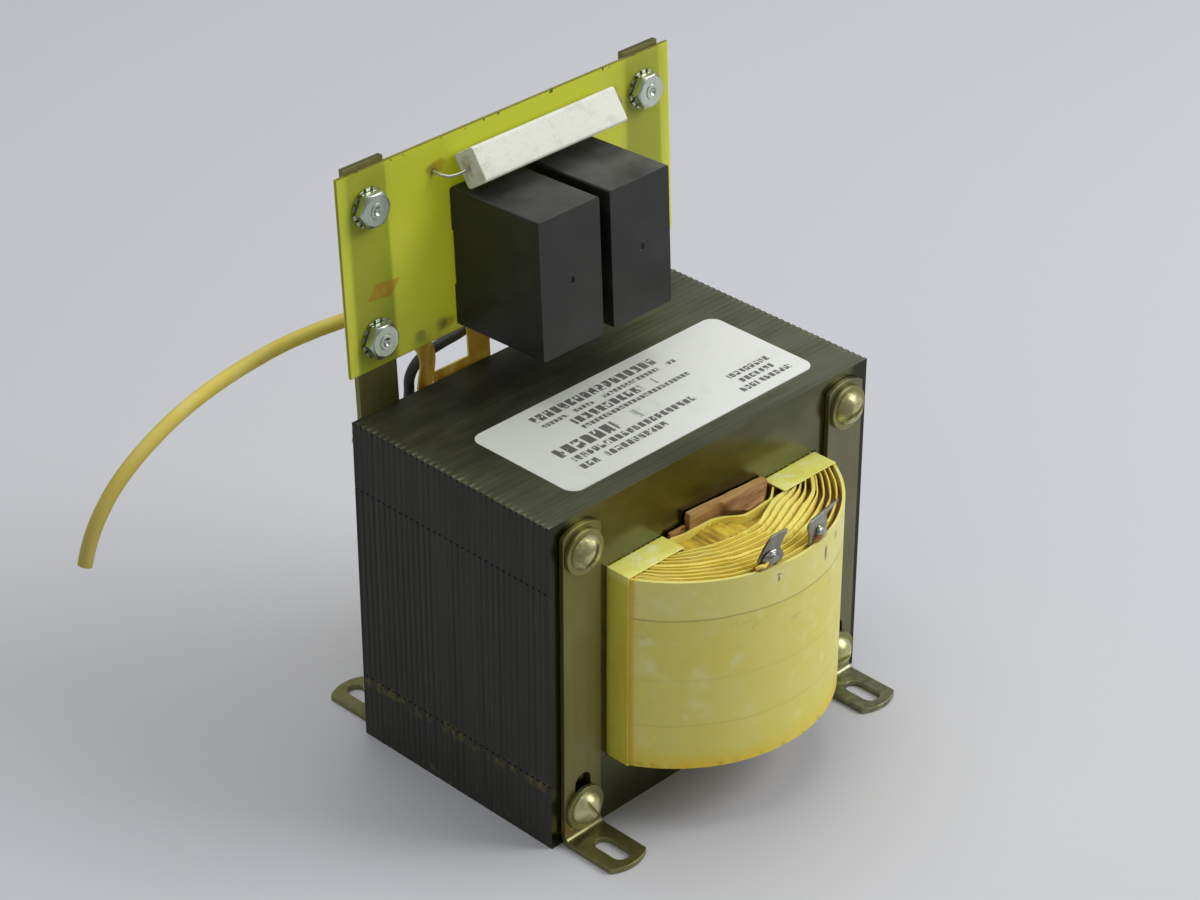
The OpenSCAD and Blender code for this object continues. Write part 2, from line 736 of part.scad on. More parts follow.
module front_left_strap() { color("#8b8a5c") front_strap(-bolt_x); }

module front_right_strap() { color("#8b8a5c") front_strap(bolt_x); }

module rear_left_strap() { color("#6f7048") rear_strap(-bolt_x); }

module rear_right_strap() { color("#6f7048") rear_strap(bolt_x); }

module core_bolts() {
    seat = core_front + strap_t + washer_t;
    tail = core_front + strap_t + lock_t + nut_h + bolt_tail;
    color("#b3ab63") for (side = [0, 1]) for (level = [0, 1])
        translate([side == 0 ? -bolt_x : bolt_x, -seat, level == 0 ? bolt_low : bolt_high]) to_front() {
            difference() {
                dome(head_d, head_h, head_r);
                rotate(driver_angles[side][level]) translate([-head_d, -head_slot_w / 2, head_h - head_slot_h])
                    cube([2 * head_d, head_slot_w, head_h]);
            }
            translate([0, 0, -seat - tail]) cylinder(d = bolt_d, h = seat + tail);
        }
}

module bolt_washers() {
    color("#a39c5e") at_bolts() translate([0, -core_front - strap_t, 0]) to_front()
        ring_solid(washer_d, 2 * bolt_hole_r, washer_t);
}

module lock_washers() {
    split_w = 1;
    color("#8d8f90") at_bolts() translate([0, core_front + strap_t, 0]) to_back() difference() {
        ring_solid(lock_d, 2 * bolt_hole_r, lock_t);
        rotate([0, -20, 30]) translate([0, -split_w / 2, -lock_d]) cube([lock_d, split_w, 2 * lock_d]);
    }
}

module core_nuts() {
    color("#9a9c9a") at_bolts() translate([0, core_front + strap_t + lock_t, 0]) to_back()
        hex_nut(nut_af, nut_h, bolt_d);
}

module at_pins() {
    for (x = [-1, 1]) for (z = [-1, 1])
        translate([cap_x + x * (cap_w + cap_gap) / 2, 0, cap_low + cap_h / 2 + z * pin_pitch / 2]) children();
}

// Where the resistor's wires go through the board, level with the resistor's axis
function res_seat_y() = -board_t - seat_gap - res_h * sin(res_tilt);
function res_axis() = [res_seat_y() + res_h / 2 * sin(res_tilt) - res_t / 2 * cos(res_tilt),
    cap_top + seat_gap + res_h / 2 * cos(res_tilt) + res_t / 2 * sin(res_tilt)];

module at_wires() {
    for (side = [-1, 1]) translate([res_x + side * (res_l / 2 + wire_reach), 0, res_axis()[1]]) children();
}

module circuit_board() {
    color("#a7a83a") difference() {
        on_uprights() translate([-board_w / 2, -board_t, board_lift]) cube([board_w, board_t, board_h]);
        at_board_screws() to_front() cylinder(r = screw_hole_r, h = 4 * board_t, center = true);
        on_uprights() at_pins() to_front() cylinder(r = pin_hole_r, h = 4 * board_t, center = true);
        on_uprights() at_wires() to_front() cylinder(r = wire_hole_r, h = 4 * board_t, center = true);
    }
}

module board_screws() {
    reach = strap_t + board_t + star_h + board_nut_h + screw_tail;
    color("#a4a8a9") at_board_screws() translate([0, strap_t, 0]) to_back() {
        dome(screw_head_d, screw_head_h, screw_head_r);
        translate([0, 0, -reach]) difference() {
            cylinder(d = screw_d, h = reach);
            translate([0, 0, -cut]) cylinder(d1 = dimple_d * (1 + cut / dimple_h), d2 = 0, h = dimple_h + cut);
        }
    }
}

module toothed_washers() {
    inner = screw_d / 2 + screw_gap;
    outer = star_d / 2;
    tooth = 0.9;
    color("#b9bdc0") at_board_screws() translate([0, -board_t, 0]) to_front() difference() {
        rotate_extrude() polygon([[inner, star_dish], [outer, 0], [outer, star_t], [inner, star_h]]);
        for (k = [0:star_teeth - 1]) rotate(360 / star_teeth * k) translate([outer - tooth, -tooth / 2, -cut])
            cube([2 * tooth, tooth, star_h + 2 * cut]);
    }
}

module board_nuts() {
    color("#c2c6c8") at_board_screws() translate([0, -board_t - star_h, 0]) to_front()
        hex_nut(board_nut_af, board_nut_h, screw_d);
}

module capacitor(side) {
    x = cap_x + side * (cap_w + cap_gap) / 2;
    mark_d = 2;
    mark_depth = 0.4;
    on_uprights() translate([x, -board_t, cap_low + cap_h / 2]) difference() {
        to_front() linear_extrude(cap_d) rounded_rect(cap_w, cap_h, cap_r);
        translate([-cap_w, -pad_relief, -pad_relief_h / 2]) cube([2 * cap_w, 2 * pad_relief, pad_relief_h]);
        translate([0, mark_depth - cap_d, 0]) to_front() cylinder(d = mark_d, h = 2 * mark_depth);
    }
}

module left_capacitor() { color("#2b2c29") capacitor(-1); }

module right_capacitor() { color("#2b2c29") capacitor(1); }

module capacitor_pins() {
    color("#b0b2b2") on_uprights() at_pins() translate([0, -board_t, 0]) to_back()
        cylinder(d = pin_d, h = board_t + joint_h);
}

module resistor() {
    color("#d9d8cc") on_uprights() translate([res_x, res_seat_y(), cap_top + seat_gap])
        rotate([-res_tilt, 0, 0]) translate([0, -res_t / 2, res_h / 2]) rotate([90, 0, 90])
            linear_extrude(res_l, center = true) rounded_rect(res_t, res_h, res_r);
}

// A wire leaves the middle of the resistor's end, sags a little and goes through the board
function wire_route(side) = let (
    y = res_axis()[0],
    z = res_axis()[1],
    x = res_x + side * res_l / 2,
    out = side * wire_reach,
    sag = 0.9
) [[x, y, z], [x + out * 0.22, y, z], [x + out * 0.5, mix(y, -board_t, 0.12), z - sag * 0.65],
    [x + out * 0.76, mix(y, -board_t, 0.33), z - sag],
    [x + out * 0.94, mix(y, -board_t, 0.62), z - sag * 0.55],
    [x + out, -board_t, z], [x + out, 0, z], [x + out, joint_h, z]];

module resistor_wires() {
    color("#bfc2c2") on_uprights() for (side = [-1, 1])
        sweep(wire_route(side), round_section(wire_d), [0, 0, 1]);
}

module solder_joint(hole_d) {
    to_back() difference() {
        cylinder(r1 = joint_r, r2 = joint_r * 0.6, h = joint_h);
        if (hole_d > 0) translate([0, 0, -cut]) cylinder(d = hole_d + 2 * joint_gap_r, h = joint_h + 2 * cut);
    }
}

module solder_joints() {
    color("#bcbfc0") on_uprights() {
        at_pins() solder_joint(pin_d);
        at_wires() solder_joint(wire_d);
        for (place = [black_joint, strip_joint, fold_joint, cord_joint])
            translate([place[0], 0, place[1]]) solder_joint(0);
    }
}

module black_lead() {
    color("#1d1d1d") sweep(smooth(black_route, 3), round_section(black_d), [1, 1, 0]);
}

module left_amber_strip() {
    half = [strip_w / 2, strip_t / 2];
    color("#a8781c") sweep(smooth(strip_route, 3),
        [[-half[0], -half[1]], [half[0], -half[1]], half, [-half[0], half[1]]], [0, 1, 0]);
}

// A flat strip that comes up from the coil, folds along the core's top edge and folds up to the board
module folded_amber_strip() {
    left = -28;
    right = -8.5;
    foot = coil_high - core_h + seat_gap;
    low = 1.8 - fold_w;
    high = fold_joint[1] + joint_r;
    color("#b4831f") on_uprights() translate([0, joint_h + strip_t, 0]) to_front() linear_extrude(strip_t)
        polygon([[left, foot], [left + fold_w, foot], [left + fold_w, low], [right, low], [right, high],
            [right - fold_w, high], [right - fold_w, low + fold_w], [left, low + fold_w]]);
}

module label() {
    color("#e9e9e0") translate([label_x, -label_y, core_h]) linear_extrude(label_t)
        rounded_rect(label_w, label_l, label_r);
}

module yellow_lead() {
    color("#c79a1e") sweep(smooth(cord_route, 2), round_section(cord_d), [1, 0, -1]);
}

e_laminations();
i_laminations();
coil_former();
inner_winding();
winding_barrier();
outer_winding();
crinkled_filler();
layer_papers();
margin_strips();
outer_wrap();
left_corner_tape();
right_corner_tape();
wood_wedge();
wood_shim();
left_terminal();
right_terminal();
front_left_strap();
front_right_strap();
rear_left_strap();
rear_right_strap();
core_bolts();
bolt_washers();
lock_washers();
core_nuts();
circuit_board();
board_screws();
toothed_washers();
board_nuts();
left_capacitor();
right_capacitor();
capacitor_pins();
resistor();
resistor_wires();
solder_joints();
black_lead();
left_amber_strip();
folded_amber_strip();
label();
yellow_lead();
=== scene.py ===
"""Dress a packed open-frame power transformer and stage it for a studio picture.

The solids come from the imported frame. Each sub-assembly of the part is a class that gives its solids their
finish, rounds or roughens copies of those whose edges show, and adds the fine things that the solids leave
out: solder, wire ends, crinkles and bent paper edges. Lengths are in metres in the part's own frame, with
the coil's front towards -Y, and finishes are drawn in millimetres of that frame.
"""

import logging
import math
from dataclasses import dataclass, field
from enum import Enum
from typing import Sequence, Union

import bmesh
import bpy
from mathutils import Matrix, Vector, noise

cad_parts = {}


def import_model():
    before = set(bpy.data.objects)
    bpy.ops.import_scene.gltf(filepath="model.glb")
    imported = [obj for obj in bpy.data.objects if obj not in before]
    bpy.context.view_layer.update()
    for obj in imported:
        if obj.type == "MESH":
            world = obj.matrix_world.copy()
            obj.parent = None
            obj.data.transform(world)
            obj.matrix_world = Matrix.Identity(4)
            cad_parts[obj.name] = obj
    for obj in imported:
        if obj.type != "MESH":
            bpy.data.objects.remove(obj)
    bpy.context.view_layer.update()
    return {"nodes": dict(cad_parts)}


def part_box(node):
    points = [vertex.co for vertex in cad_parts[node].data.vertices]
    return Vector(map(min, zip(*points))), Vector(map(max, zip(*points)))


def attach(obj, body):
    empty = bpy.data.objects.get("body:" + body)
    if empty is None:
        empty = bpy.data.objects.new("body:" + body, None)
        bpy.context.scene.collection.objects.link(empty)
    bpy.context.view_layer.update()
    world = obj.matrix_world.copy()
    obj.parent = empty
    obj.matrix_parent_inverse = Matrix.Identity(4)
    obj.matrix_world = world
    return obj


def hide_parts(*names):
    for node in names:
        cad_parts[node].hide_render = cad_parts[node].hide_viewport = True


LOG = logging.getLogger("transformer")
MM = 0.001
BODY = "root"
MERGE = 1e-6
FLAT_ANGLE = 0.5
SHARP_ANGLE = 35.0
TUBE_STEPS = 6
NOISE_ROUGHNESS = 0.55
BOW = 45.0 * MM

Pair = tuple[float, float]
Triple = tuple[float, float, float]
# A mark on an upright face: its middle along X and Z, half its width and half its height.
Spot = tuple[float, float, float, float]
# A row of bars: its middle along Y, half its height, and where it starts and ends along X.
Row = tuple[float, float, float, float]
Number = Union[float, bpy.types.NodeSocket]
Paint = Union[Triple, bpy.types.NodeSocket]


class Slot(Enum):
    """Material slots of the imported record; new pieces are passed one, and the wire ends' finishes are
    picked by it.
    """

    CORE_STEEL = "core_steel"
    PAPER = "paper"
    WRAP = "wrap"
    WOOD = "wood"
    TIN = "tin"
    YELLOW_ZINC = "yellow_zinc"
    BRIGHT_ZINC = "bright_zinc"
    BOARD = "board"
    BLACK_CASE = "black_case"
    CEMENT = "cement"
    BLACK_SLEEVE = "black_sleeve"
    AMBER = "amber"
    YELLOW_SLEEVE = "yellow_sleeve"


def corners(name: str) -> tuple[Vector, Vector]:
    """Return a solid's lowest and highest corners in millimetres."""
    low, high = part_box(name)
    return Vector(low) / MM, Vector(high) / MM


class Sketch:
    """A node tree drawn step by step round one Principled shader.

    Places are in millimetres of the part's frame, read from Object coordinates.
    """

    def __init__(self, name: str) -> None:
        """Start a material.

        Args:
            name: The material's name.
        """
        self.material = bpy.data.materials.new(name)
        self.material.use_nodes = True
        self.tree = self.material.node_tree
        self.shader = self.tree.nodes["Principled BSDF"]
        self.place = self._node("ShaderNodeTexCoord").outputs["Object"]
        parts = self._node("ShaderNodeSeparateXYZ")
        self.tree.links.new(self.place, parts.inputs[0])
        self.x, self.y, self.z = (self.math("MULTIPLY", parts.outputs[i], 1 / MM) for i in range(3))
        facing = self._node("ShaderNodeSeparateXYZ")
        self.tree.links.new(self._node("ShaderNodeTexCoord").outputs["Normal"], facing.inputs[0])
        self.up = facing.outputs["Z"]

    def _node(self, kind: str) -> bpy.types.Node:
        """Add a node of that kind."""
        return self.tree.nodes.new(kind)

    def _feed(self, socket: bpy.types.NodeSocket, value: Union[Number, Paint]) -> None:
        """Link a socket to another, or set its constant.

        Args:
            socket: The socket to feed.
            value: A socket, a number or a colour.
        """
        if isinstance(value, bpy.types.NodeSocket):
            self.tree.links.new(value, socket)
        elif isinstance(value, tuple) and len(value) == 3 and socket.type == "RGBA":
            socket.default_value = (*value, 1.0)
        else:
            socket.default_value = value

    def set(self, **inputs: Union[Number, Paint]) -> None:
        """Feed the shader's inputs.

        Args:
            **inputs: Socket names in lower case with underscores, such as base_color.
        """
        names = {socket.name.lower().replace(" ", "_"): socket for socket in self.shader.inputs}
        for name, value in inputs.items():
            self._feed(names[name], value)

    def base(self) -> bpy.types.NodeSocket:
        """Return what feeds the shader's colour so far."""
        return self.shader.inputs["Base Color"].links[0].from_socket

    def math(self, kind: str, a: Number, b: Number = 0.0) -> bpy.types.NodeSocket:
        """Return one arithmetic step.

        Args:
            kind: The operation, such as ADD.
            a: The first number.
            b: The second number.

        Returns:
            The result's socket.
        """
        node = self._node("ShaderNodeMath")
        node.operation = kind
        self._feed(node.inputs[0], a)
        self._feed(node.inputs[1], b)
        return node.outputs[0]

    def times(self, *values: Number) -> bpy.types.NodeSocket:
        """Multiply several numbers.

        Args:
            *values: The numbers.

        Returns:
            The product's socket.
        """
        product = values[0]
        for value in values[1:]:
            product = self.math("MULTIPLY", product, value)
        return product

    def total(self, *values: Number) -> bpy.types.NodeSocket:
        """Add several numbers.

        Args:
            *values: The numbers.

        Returns:
            The sum's socket.
        """
        result = values[0]
        for value in values[1:]:
            result = self.math("ADD", result, value)
        return result

    def most(self, a: Number, b: Number) -> bpy.types.NodeSocket:
        """Return the larger of two numbers."""
        return self.math("MAXIMUM", a, b)

    def noise(self, size: float, detail: float = 3.0, stretch: Triple = (1.0, 1.0, 1.0),
              shift: float = 0.0) -> bpy.types.NodeSocket:
        """Return cloudy noise from 0 to 1.

        Args:
            size: Size of its clouds in millimetres.
            detail: Octaves.
            stretch: How many times longer the clouds are along each axis.
            shift: Offset into the pattern.

        Returns:
            The noise's socket.
        """
        mapping = self._node("ShaderNodeMapping")
        self._feed(mapping.inputs["Vector"], self.place)
        mapping.inputs["Scale"].default_value = tuple(1 / (size * MM * s) for s in stretch)
        mapping.inputs["Location"].default_value = (shift, shift * 0.7, -shift)
        node = self._node("ShaderNodeTexNoise")
        self._feed(node.inputs["Vector"], mapping.outputs[0])
        node.inputs["Scale"].default_value = 1.0
        node.inputs["Detail"].default_value = detail
        node.inputs["Roughness"].default_value = NOISE_ROUGHNESS
        return node.outputs["Fac"]

    def ease(self, value: Number, low: float, high: float, to_low: float = 0.0,
             to_high: float = 1.0) -> bpy.types.NodeSocket:
        """Return a smooth step of a value.

        Args:
            value: What is stepped.
            low: Where the step starts.
            high: Where it ends.
            to_low: The result below the step.
            to_high: The result above it.

        Returns:
            The result's socket.
        """
        node = self._node("ShaderNodeMapRange")
        node.interpolation_type = "SMOOTHSTEP"
        self._feed(node.inputs["Value"], value)
        for name, number in (("From Min", low), ("From Max", high), ("To Min", to_low), ("To Max", to_high)):
            node.inputs[name].default_value = number
        return node.outputs[0]

    def band(self, value: Number, middle: float, half: float, soft: float) -> bpy.types.NodeSocket:
        """Return 1 within a band of a coordinate and 0 outside it.

        Args:
            value: The coordinate in millimetres.
            middle: The band's middle.
            half: Half the band's width.
            soft: Width of its soft edge.

        Returns:
            The mask's socket.
        """
        away = self.math("ABSOLUTE", self.math("SUBTRACT", value, middle))
        return self.ease(away, half, half + soft, 1.0, 0.0)

    def blot(self, x: float, z: float, wide: float, tall: float, ragged: float = 1.0) -> bpy.types.NodeSocket:
        """Return a ragged spot on an upright face.

        Args:
            x: Its middle along X.
            z: Its middle along Z.
            wide: Half its width.
            tall: Half its height.
            ragged: How far its outline wanders.

        Returns:
            The mask's socket.
        """
        across = self.times(self.math("SUBTRACT", self.x, x), 1 / wide)
        up = self.times(self.math("SUBTRACT", self.z, z), 1 / tall)
        away = self.math("SQRT", self.total(self.times(across, across), self.times(up, up)))
        wander = self.times(self.math("SUBTRACT", self.noise(1.6, 4, shift=x), 0.5), ragged)
        return self.ease(self.total(away, wander), 0.45, 1.0, 1.0, 0.0)

    def ridges(self, value: Number, pitch: float) -> bpy.types.NodeSocket:
        """Return waves from 0 to 1 along a coordinate.

        Args:
            value: The coordinate in millimetres.
            pitch: Distance between crests in millimetres.

        Returns:
            The waves' socket.
        """
        wave = self.math("SINE", self.math("MULTIPLY", value, 2 * math.pi / pitch))
        return self.math("MULTIPLY", self.math("ADD", wave, 1.0), 0.5)

    def ramp(self, value: Number, low: tuple[float, Triple],
             high: tuple[float, Triple]) -> bpy.types.NodeSocket:
        """Return a colour between two.

        Args:
            value: Place on the ramp from 0 to 1.
            low: Where the first colour ends, and that colour.
            high: Where the second colour starts, and that colour.

        Returns:
            The colour's socket.
        """
        node = self._node("ShaderNodeValToRGB")
        for element, (place, colour) in zip(node.color_ramp.elements, (low, high)):
            element.position = place
            element.color = (*colour, 1.0)
        self._feed(node.inputs[0], value)
        return node.outputs[0]

    def over(self, below: Paint, above: Paint, mask: Number) -> bpy.types.NodeSocket:
        """Return one colour laid over another.

        Args:
            below: The colour underneath.
            above: The colour on top.
            mask: Where the top one shows.

        Returns:
            The colour's socket.
        """
        node = self._node("ShaderNodeMix")
        node.data_type = "RGBA"
        self._feed(node.inputs["Factor"], mask)
        colours = {socket.name: socket for socket in node.inputs if socket.type == "RGBA"}
        self._feed(colours["A"], below)
        self._feed(colours["B"], above)
        return next(socket for socket in node.outputs if socket.type == "RGBA")

    def bump(self, height: Number, depth: float, strength: float = 1.0) -> None:
        """Raise the surface by a height, over any bump that is there already.

        Args:
            height: Height from 0 to 1.
            depth: Full height in millimetres.
            strength: Share of it that shows.
        """
        node = self._node("ShaderNodeBump")
        node.inputs["Strength"].default_value = strength
        node.inputs["Distance"].default_value = depth * MM
        self._feed(node.inputs["Height"], height)
        below = self.shader.inputs["Normal"]
        if below.is_linked:
            self._feed(node.inputs["Normal"], below.links[0].from_socket)
        self._feed(below, node.outputs[0])


@dataclass(frozen=True)
class Finish:
    """A finish that every piece of one material shares.

    Places and lengths are in millimetres. A field that holds a pair of places says where a change starts and
    where it ends.
    """

    name: str

    def draw(self, s: Sketch) -> None:
        """Draw the finish's nodes.

        Args:
            s: The sketch to draw in.
        """
        raise NotImplementedError

    def material(self) -> bpy.types.Material:
        """Return the finish's material, made on first use."""
        title = f"{self.name}_finish"
        made = bpy.data.materials.get(title)
        if made is None:
            sketch = Sketch(title)
            self.draw(sketch)
            made = sketch.material
        return made


@dataclass(frozen=True)
class CoreSteel(Finish):
    """Dark varnished lamination edges, with bare bronze sheet on the core's front and back."""

    edge: Triple = (0.0295, 0.0305, 0.0235)
    edge_pale: Triple = (0.046, 0.0475, 0.037)
    # Painted light that makes the recessed groups paler, to offset the shade in them.
    recess_painted_light: Triple = (0.0405, 0.042, 0.033)
    fleck: Triple = (0.13, 0.13, 0.11)
    top: Triple = (0.022, 0.0235, 0.0125)
    # Colours of the top's painted sheen and of its painted grey highlight.
    top_pale: Triple = (0.115, 0.119, 0.070)
    top_grey_highlight: Triple = (0.150, 0.158, 0.135)
    # Bare metal of the teeth, lightened as a painted highlight.
    bare: Triple = (0.250, 0.245, 0.170)
    sheet: Triple = (0.145, 0.148, 0.072)
    sheet_dark: Triple = (0.080, 0.083, 0.044)
    sheet_margin: Triple = (0.026, 0.027, 0.015)
    rust: Triple = (0.140, 0.115, 0.026)
    gap: Triple = (0.002, 0.002, 0.002)
    shift: float = 0.15
    yoke: float = 19.05
    pairs: int = 34
    sheets_in_pair: int = 4
    margin: Pair = (49.5, 53.0)
    # Ranges of the top's painted sheen towards the front and the right, of the sheen on the rubbed teeth, and
    # of the painted grey highlight.
    sheen_forward: Pair = (10.0, -30.0)
    sheen_outward: Pair = (5.0, 50.0)
    rubbed_teeth_sheen: Pair = (15.0, 52.0)
    grey_highlight_range: Pair = (18.0, 56.0)
    bare_corner: float = 2.6
    rust_drop: float = 1.2

    def draw(self, s: Sketch) -> None:
        """Draw the sheets' edges, their joints, the worn top with its painted sheen and highlights, and the
        bare outer sheets.

        Args:
            s: The sketch to draw in.
        """
        high = corners("e_laminations")[1]
        side = high.x - self.shift
        joint = high.z - self.yoke
        pair = 2 * high.y / self.pairs
        width = s.math("ABSOLUTE", s.x)
        on_sheet = s.ease(s.math("ABSOLUTE", s.y), high.y - 0.06, high.y - 0.02)
        on_edge = s.math("SUBTRACT", 1.0, on_sheet)
        on_top = s.ease(s.z, high.z - 0.3, high.z - 0.1)
        on_side = s.ease(width, side - 0.4, side - 0.25)
        flush = s.ease(s.z, joint - 0.3, joint + 0.3, 1.0, 0.35)
        lines = s.times(s.ridges(s.y, pair / self.sheets_in_pair), flush)
        teeth = s.ridges(s.total(s.y, high.y), pair)
        striped = s.ease(s.noise(0.7, 2.0, (80.0, 1.0, 1.0), 5.0), 0.34, 0.66)
        worn = s.ease(s.noise(12, 6, (2.2, 0.6, 1.0), 8.0), 0.36, 0.74)
        sunk = s.times(s.ease(width, side - 0.03, side + 0.03, 1.0, 0.0), flush)
        colour = self._edges(s, lines, sunk)
        colour = s.over(colour, self._worn_top(s, teeth, striped, worn), on_top)
        # Bare metal on the teeth along the top's outer edges, lightened as a painted highlight.
        corner = s.times(on_top, s.ease(width, side - self.bare_corner, side), s.ease(teeth, 0.45, 0.8))
        colour = s.over(colour, self.bare, s.times(corner, s.total(0.2, s.times(worn, 0.6))))
        colour = self._jointed(s, colour, joint, teeth, on_side)
        colour = s.over(colour, self._outer_sheet(s, width), on_sheet)
        s.set(base_color=colour, specular_ior_level=0.22)
        s.set(metallic=s.total(s.times(on_top, 0.25), on_sheet))
        rough = s.times(s.noise(9, 4), 0.14)
        s.set(roughness=s.total(0.44, rough, s.times(on_top, -0.06), s.times(on_sheet, -0.28)))
        s.bump(s.times(lines, on_edge), 0.06, 0.5)
        s.bump(s.times(striped, on_top), 0.03, 0.5)

    def _edges(self, s: Sketch, lines: Number, sunk: Number) -> bpy.types.NodeSocket:
        """Return the colour of the sheets' cut edges, with scratches and flecks, and painted light on the
        recessed groups.

        Args:
            s: The sketch.
            lines: Waves that follow the sheets.
            sunk: Where a group lies back behind its neighbours.

        Returns:
            The colour's socket.
        """
        per_sheet = s.ease(s.noise(0.9, 1.0, (400.0, 1.0, 70.0), 3.0), 0.35, 0.7)
        colour = s.over(self.edge, self.edge_pale, s.times(s.total(0.3, s.times(lines, 0.7)), per_sheet))
        # Painted light: the recessed groups are made paler to offset the shade that falls in them.
        colour = s.over(colour, self.recess_painted_light, s.times(sunk, s.total(0.5, s.times(per_sheet, 0.5))))
        handled = s.ease(s.noise(13, 3), 0.4, 0.7)
        scratched = s.times(s.ease(s.noise(0.4, 1, (1.0, 1.0, 50.0), 4.0), 0.64, 0.72), handled)
        flecks = s.ease(s.noise(1.1, 2, (1.0, 1.0, 2.0), 9.0), 0.72, 0.78)
        return s.over(colour, self.fleck, s.times(s.most(scratched, flecks), 0.3))

    def _worn_top(self, s: Sketch, teeth: Number, striped: Number, worn: Number) -> bpy.types.NodeSocket:
        """Return the top's colour, with wear, a painted sheen that grows towards the front and to the right,
        and a painted grey highlight to the right.

        Args:
            s: The sketch.
            teeth: Waves that follow the pairs of groups.
            striped: Streaks along the sheets.
            worn: Where the varnish is rubbed.

        Returns:
            The colour's socket.
        """
        # Painted sheen growing towards the front and to the right, over patches of wear.
        forward = s.ease(s.y, *self.sheen_forward, 0.1, 0.66)
        outward = s.ease(s.x, *self.sheen_outward, 0.0, 0.65)
        wear_and_sheen = s.total(s.times(worn, 0.6), forward, outward)
        top = s.over(self.top, self.top_pale, s.times(wear_and_sheen, s.total(0.48, s.times(striped, 0.32))))
        # Rubbed teeth, lightened by the painted sheen towards the right.
        rubbed = s.times(s.ease(s.x, *self.rubbed_teeth_sheen), s.ease(teeth, 0.4, 0.8))
        top = s.over(top, self.top_pale, s.times(rubbed, 0.6))
        # Painted grey highlight towards the right.
        dull = s.times(s.ease(s.x, *self.grey_highlight_range), s.total(0.3, s.times(worn, 0.6)))
        return s.over(top, self.top_grey_highlight, s.times(dull, 0.55))

    def _jointed(self, s: Sketch, colour: Paint, joint: float, teeth: Number,
                 on_side: Number) -> bpy.types.NodeSocket:
        """Return a colour with the broken lines of the joints over it, and rust at the lower one.

        Args:
            s: The sketch.
            colour: The colour underneath.
            joint: Height of the upper joint.
            teeth: Waves that follow the pairs of groups.
            on_side: Where the core's sides are.

        Returns:
            The colour's socket.
        """
        streak = s.noise(3.5, 6, (1.0, 1.0, 1.3), 5.0)
        crusted = s.ease(s.noise(1.3, 4, shift=6.0), 0.36, 0.58, 0.25, 1.0)
        below = s.band(s.z, self.yoke - self.rust_drop, 0.7, 1.9)
        low_joint = s.times(below, s.ease(streak, 0.5, 0.58), crusted)
        foot = s.times(s.band(s.z, 0.0, 1.0, 5.0), s.ease(streak, 0.56, 0.7))
        colour = s.over(colour, self.rust, s.times(s.most(low_joint, foot), on_side, 0.8))
        odd = s.ease(teeth, 0.42, 0.5, 1.0, 0.0)
        even = s.math("SUBTRACT", 1.0, odd)
        dash = s.times(s.band(s.z, joint, 0.25, 0.2), odd, on_side)
        low_dash = s.times(s.band(s.z, self.yoke, 0.2, 0.2), even, on_side)
        return s.over(colour, self.gap, s.most(dash, low_dash))

    def _outer_sheet(self, s: Sketch, width: Number) -> bpy.types.NodeSocket:
        """Return the colour of the bare outer sheets, darker beyond the straps.

        Args:
            s: The sketch.
            width: Distance from the core's middle.

        Returns:
            The colour's socket.
        """
        smear = s.ease(s.noise(20, 4, (2.0, 1.0, 1.0), 2.0), 0.38, 0.72)
        sheet = s.over(self.sheet, self.sheet_dark, smear)
        return s.over(sheet, self.sheet_margin, s.times(s.ease(width, *self.margin), 0.9))


@dataclass(frozen=True)
class Varnished(Finish):
    """Yellow varnished sheet that lets light through, mottled, and more orange towards its lower end."""

    base_colour: Triple = (0.76, 0.675, 0.125)
    mottle: Triple = (0.85, 0.81, 0.38)
    deep: Triple = (0.86, 0.57, 0.002)
    stain_height: float = 6.5
    mottling: float = 0.7
    stain: float = 0.9
    gloss: float = 0.36
    glow: float = 0.12

    @staticmethod
    def ends() -> Pair:
        """Return the heights of the coil's lower and upper ends."""
        low, high = corners("outer_wrap")
        return low.z, high.z

    def draw(self, s: Sketch) -> None:
        """Draw clouds of paler resin over the sheet, and runs of amber towards its lower end.

        Args:
            s: The sketch to draw in.
        """
        clouds = s.ease(s.noise(6.5, 1.5, shift=2.0), 0.58, 0.76)
        colour = s.over(self.base_colour, self.mottle, s.times(clouds, self.mottling))
        haze = s.ease(s.noise(24, 3, shift=5.0), 0.35, 0.7)
        colour = s.over(colour, self.mottle, s.times(haze, 0.22, self.mottling))
        runs = s.ease(s.noise(6, 4, (1.0, 1.0, 2.0), 6.0), 0.25, 0.6, 0.3, 1.0)
        low = self.ends()[0]
        bottom = s.ease(s.z, low, low + self.stain_height, 1.0, 0.0)
        colour = s.over(colour, self.deep, s.times(bottom, runs, self.stain))
        s.set(base_color=colour, roughness=s.total(self.gloss, s.times(s.noise(3, 3), 0.2)))
        s.set(subsurface_weight=self.glow, subsurface_radius=(1.0, 0.6, 0.15), subsurface_scale=2.0 * MM)
        s.set(coat_weight=0.15, coat_roughness=0.25)
        s.bump(s.noise(5, 3), 0.25, 0.35)


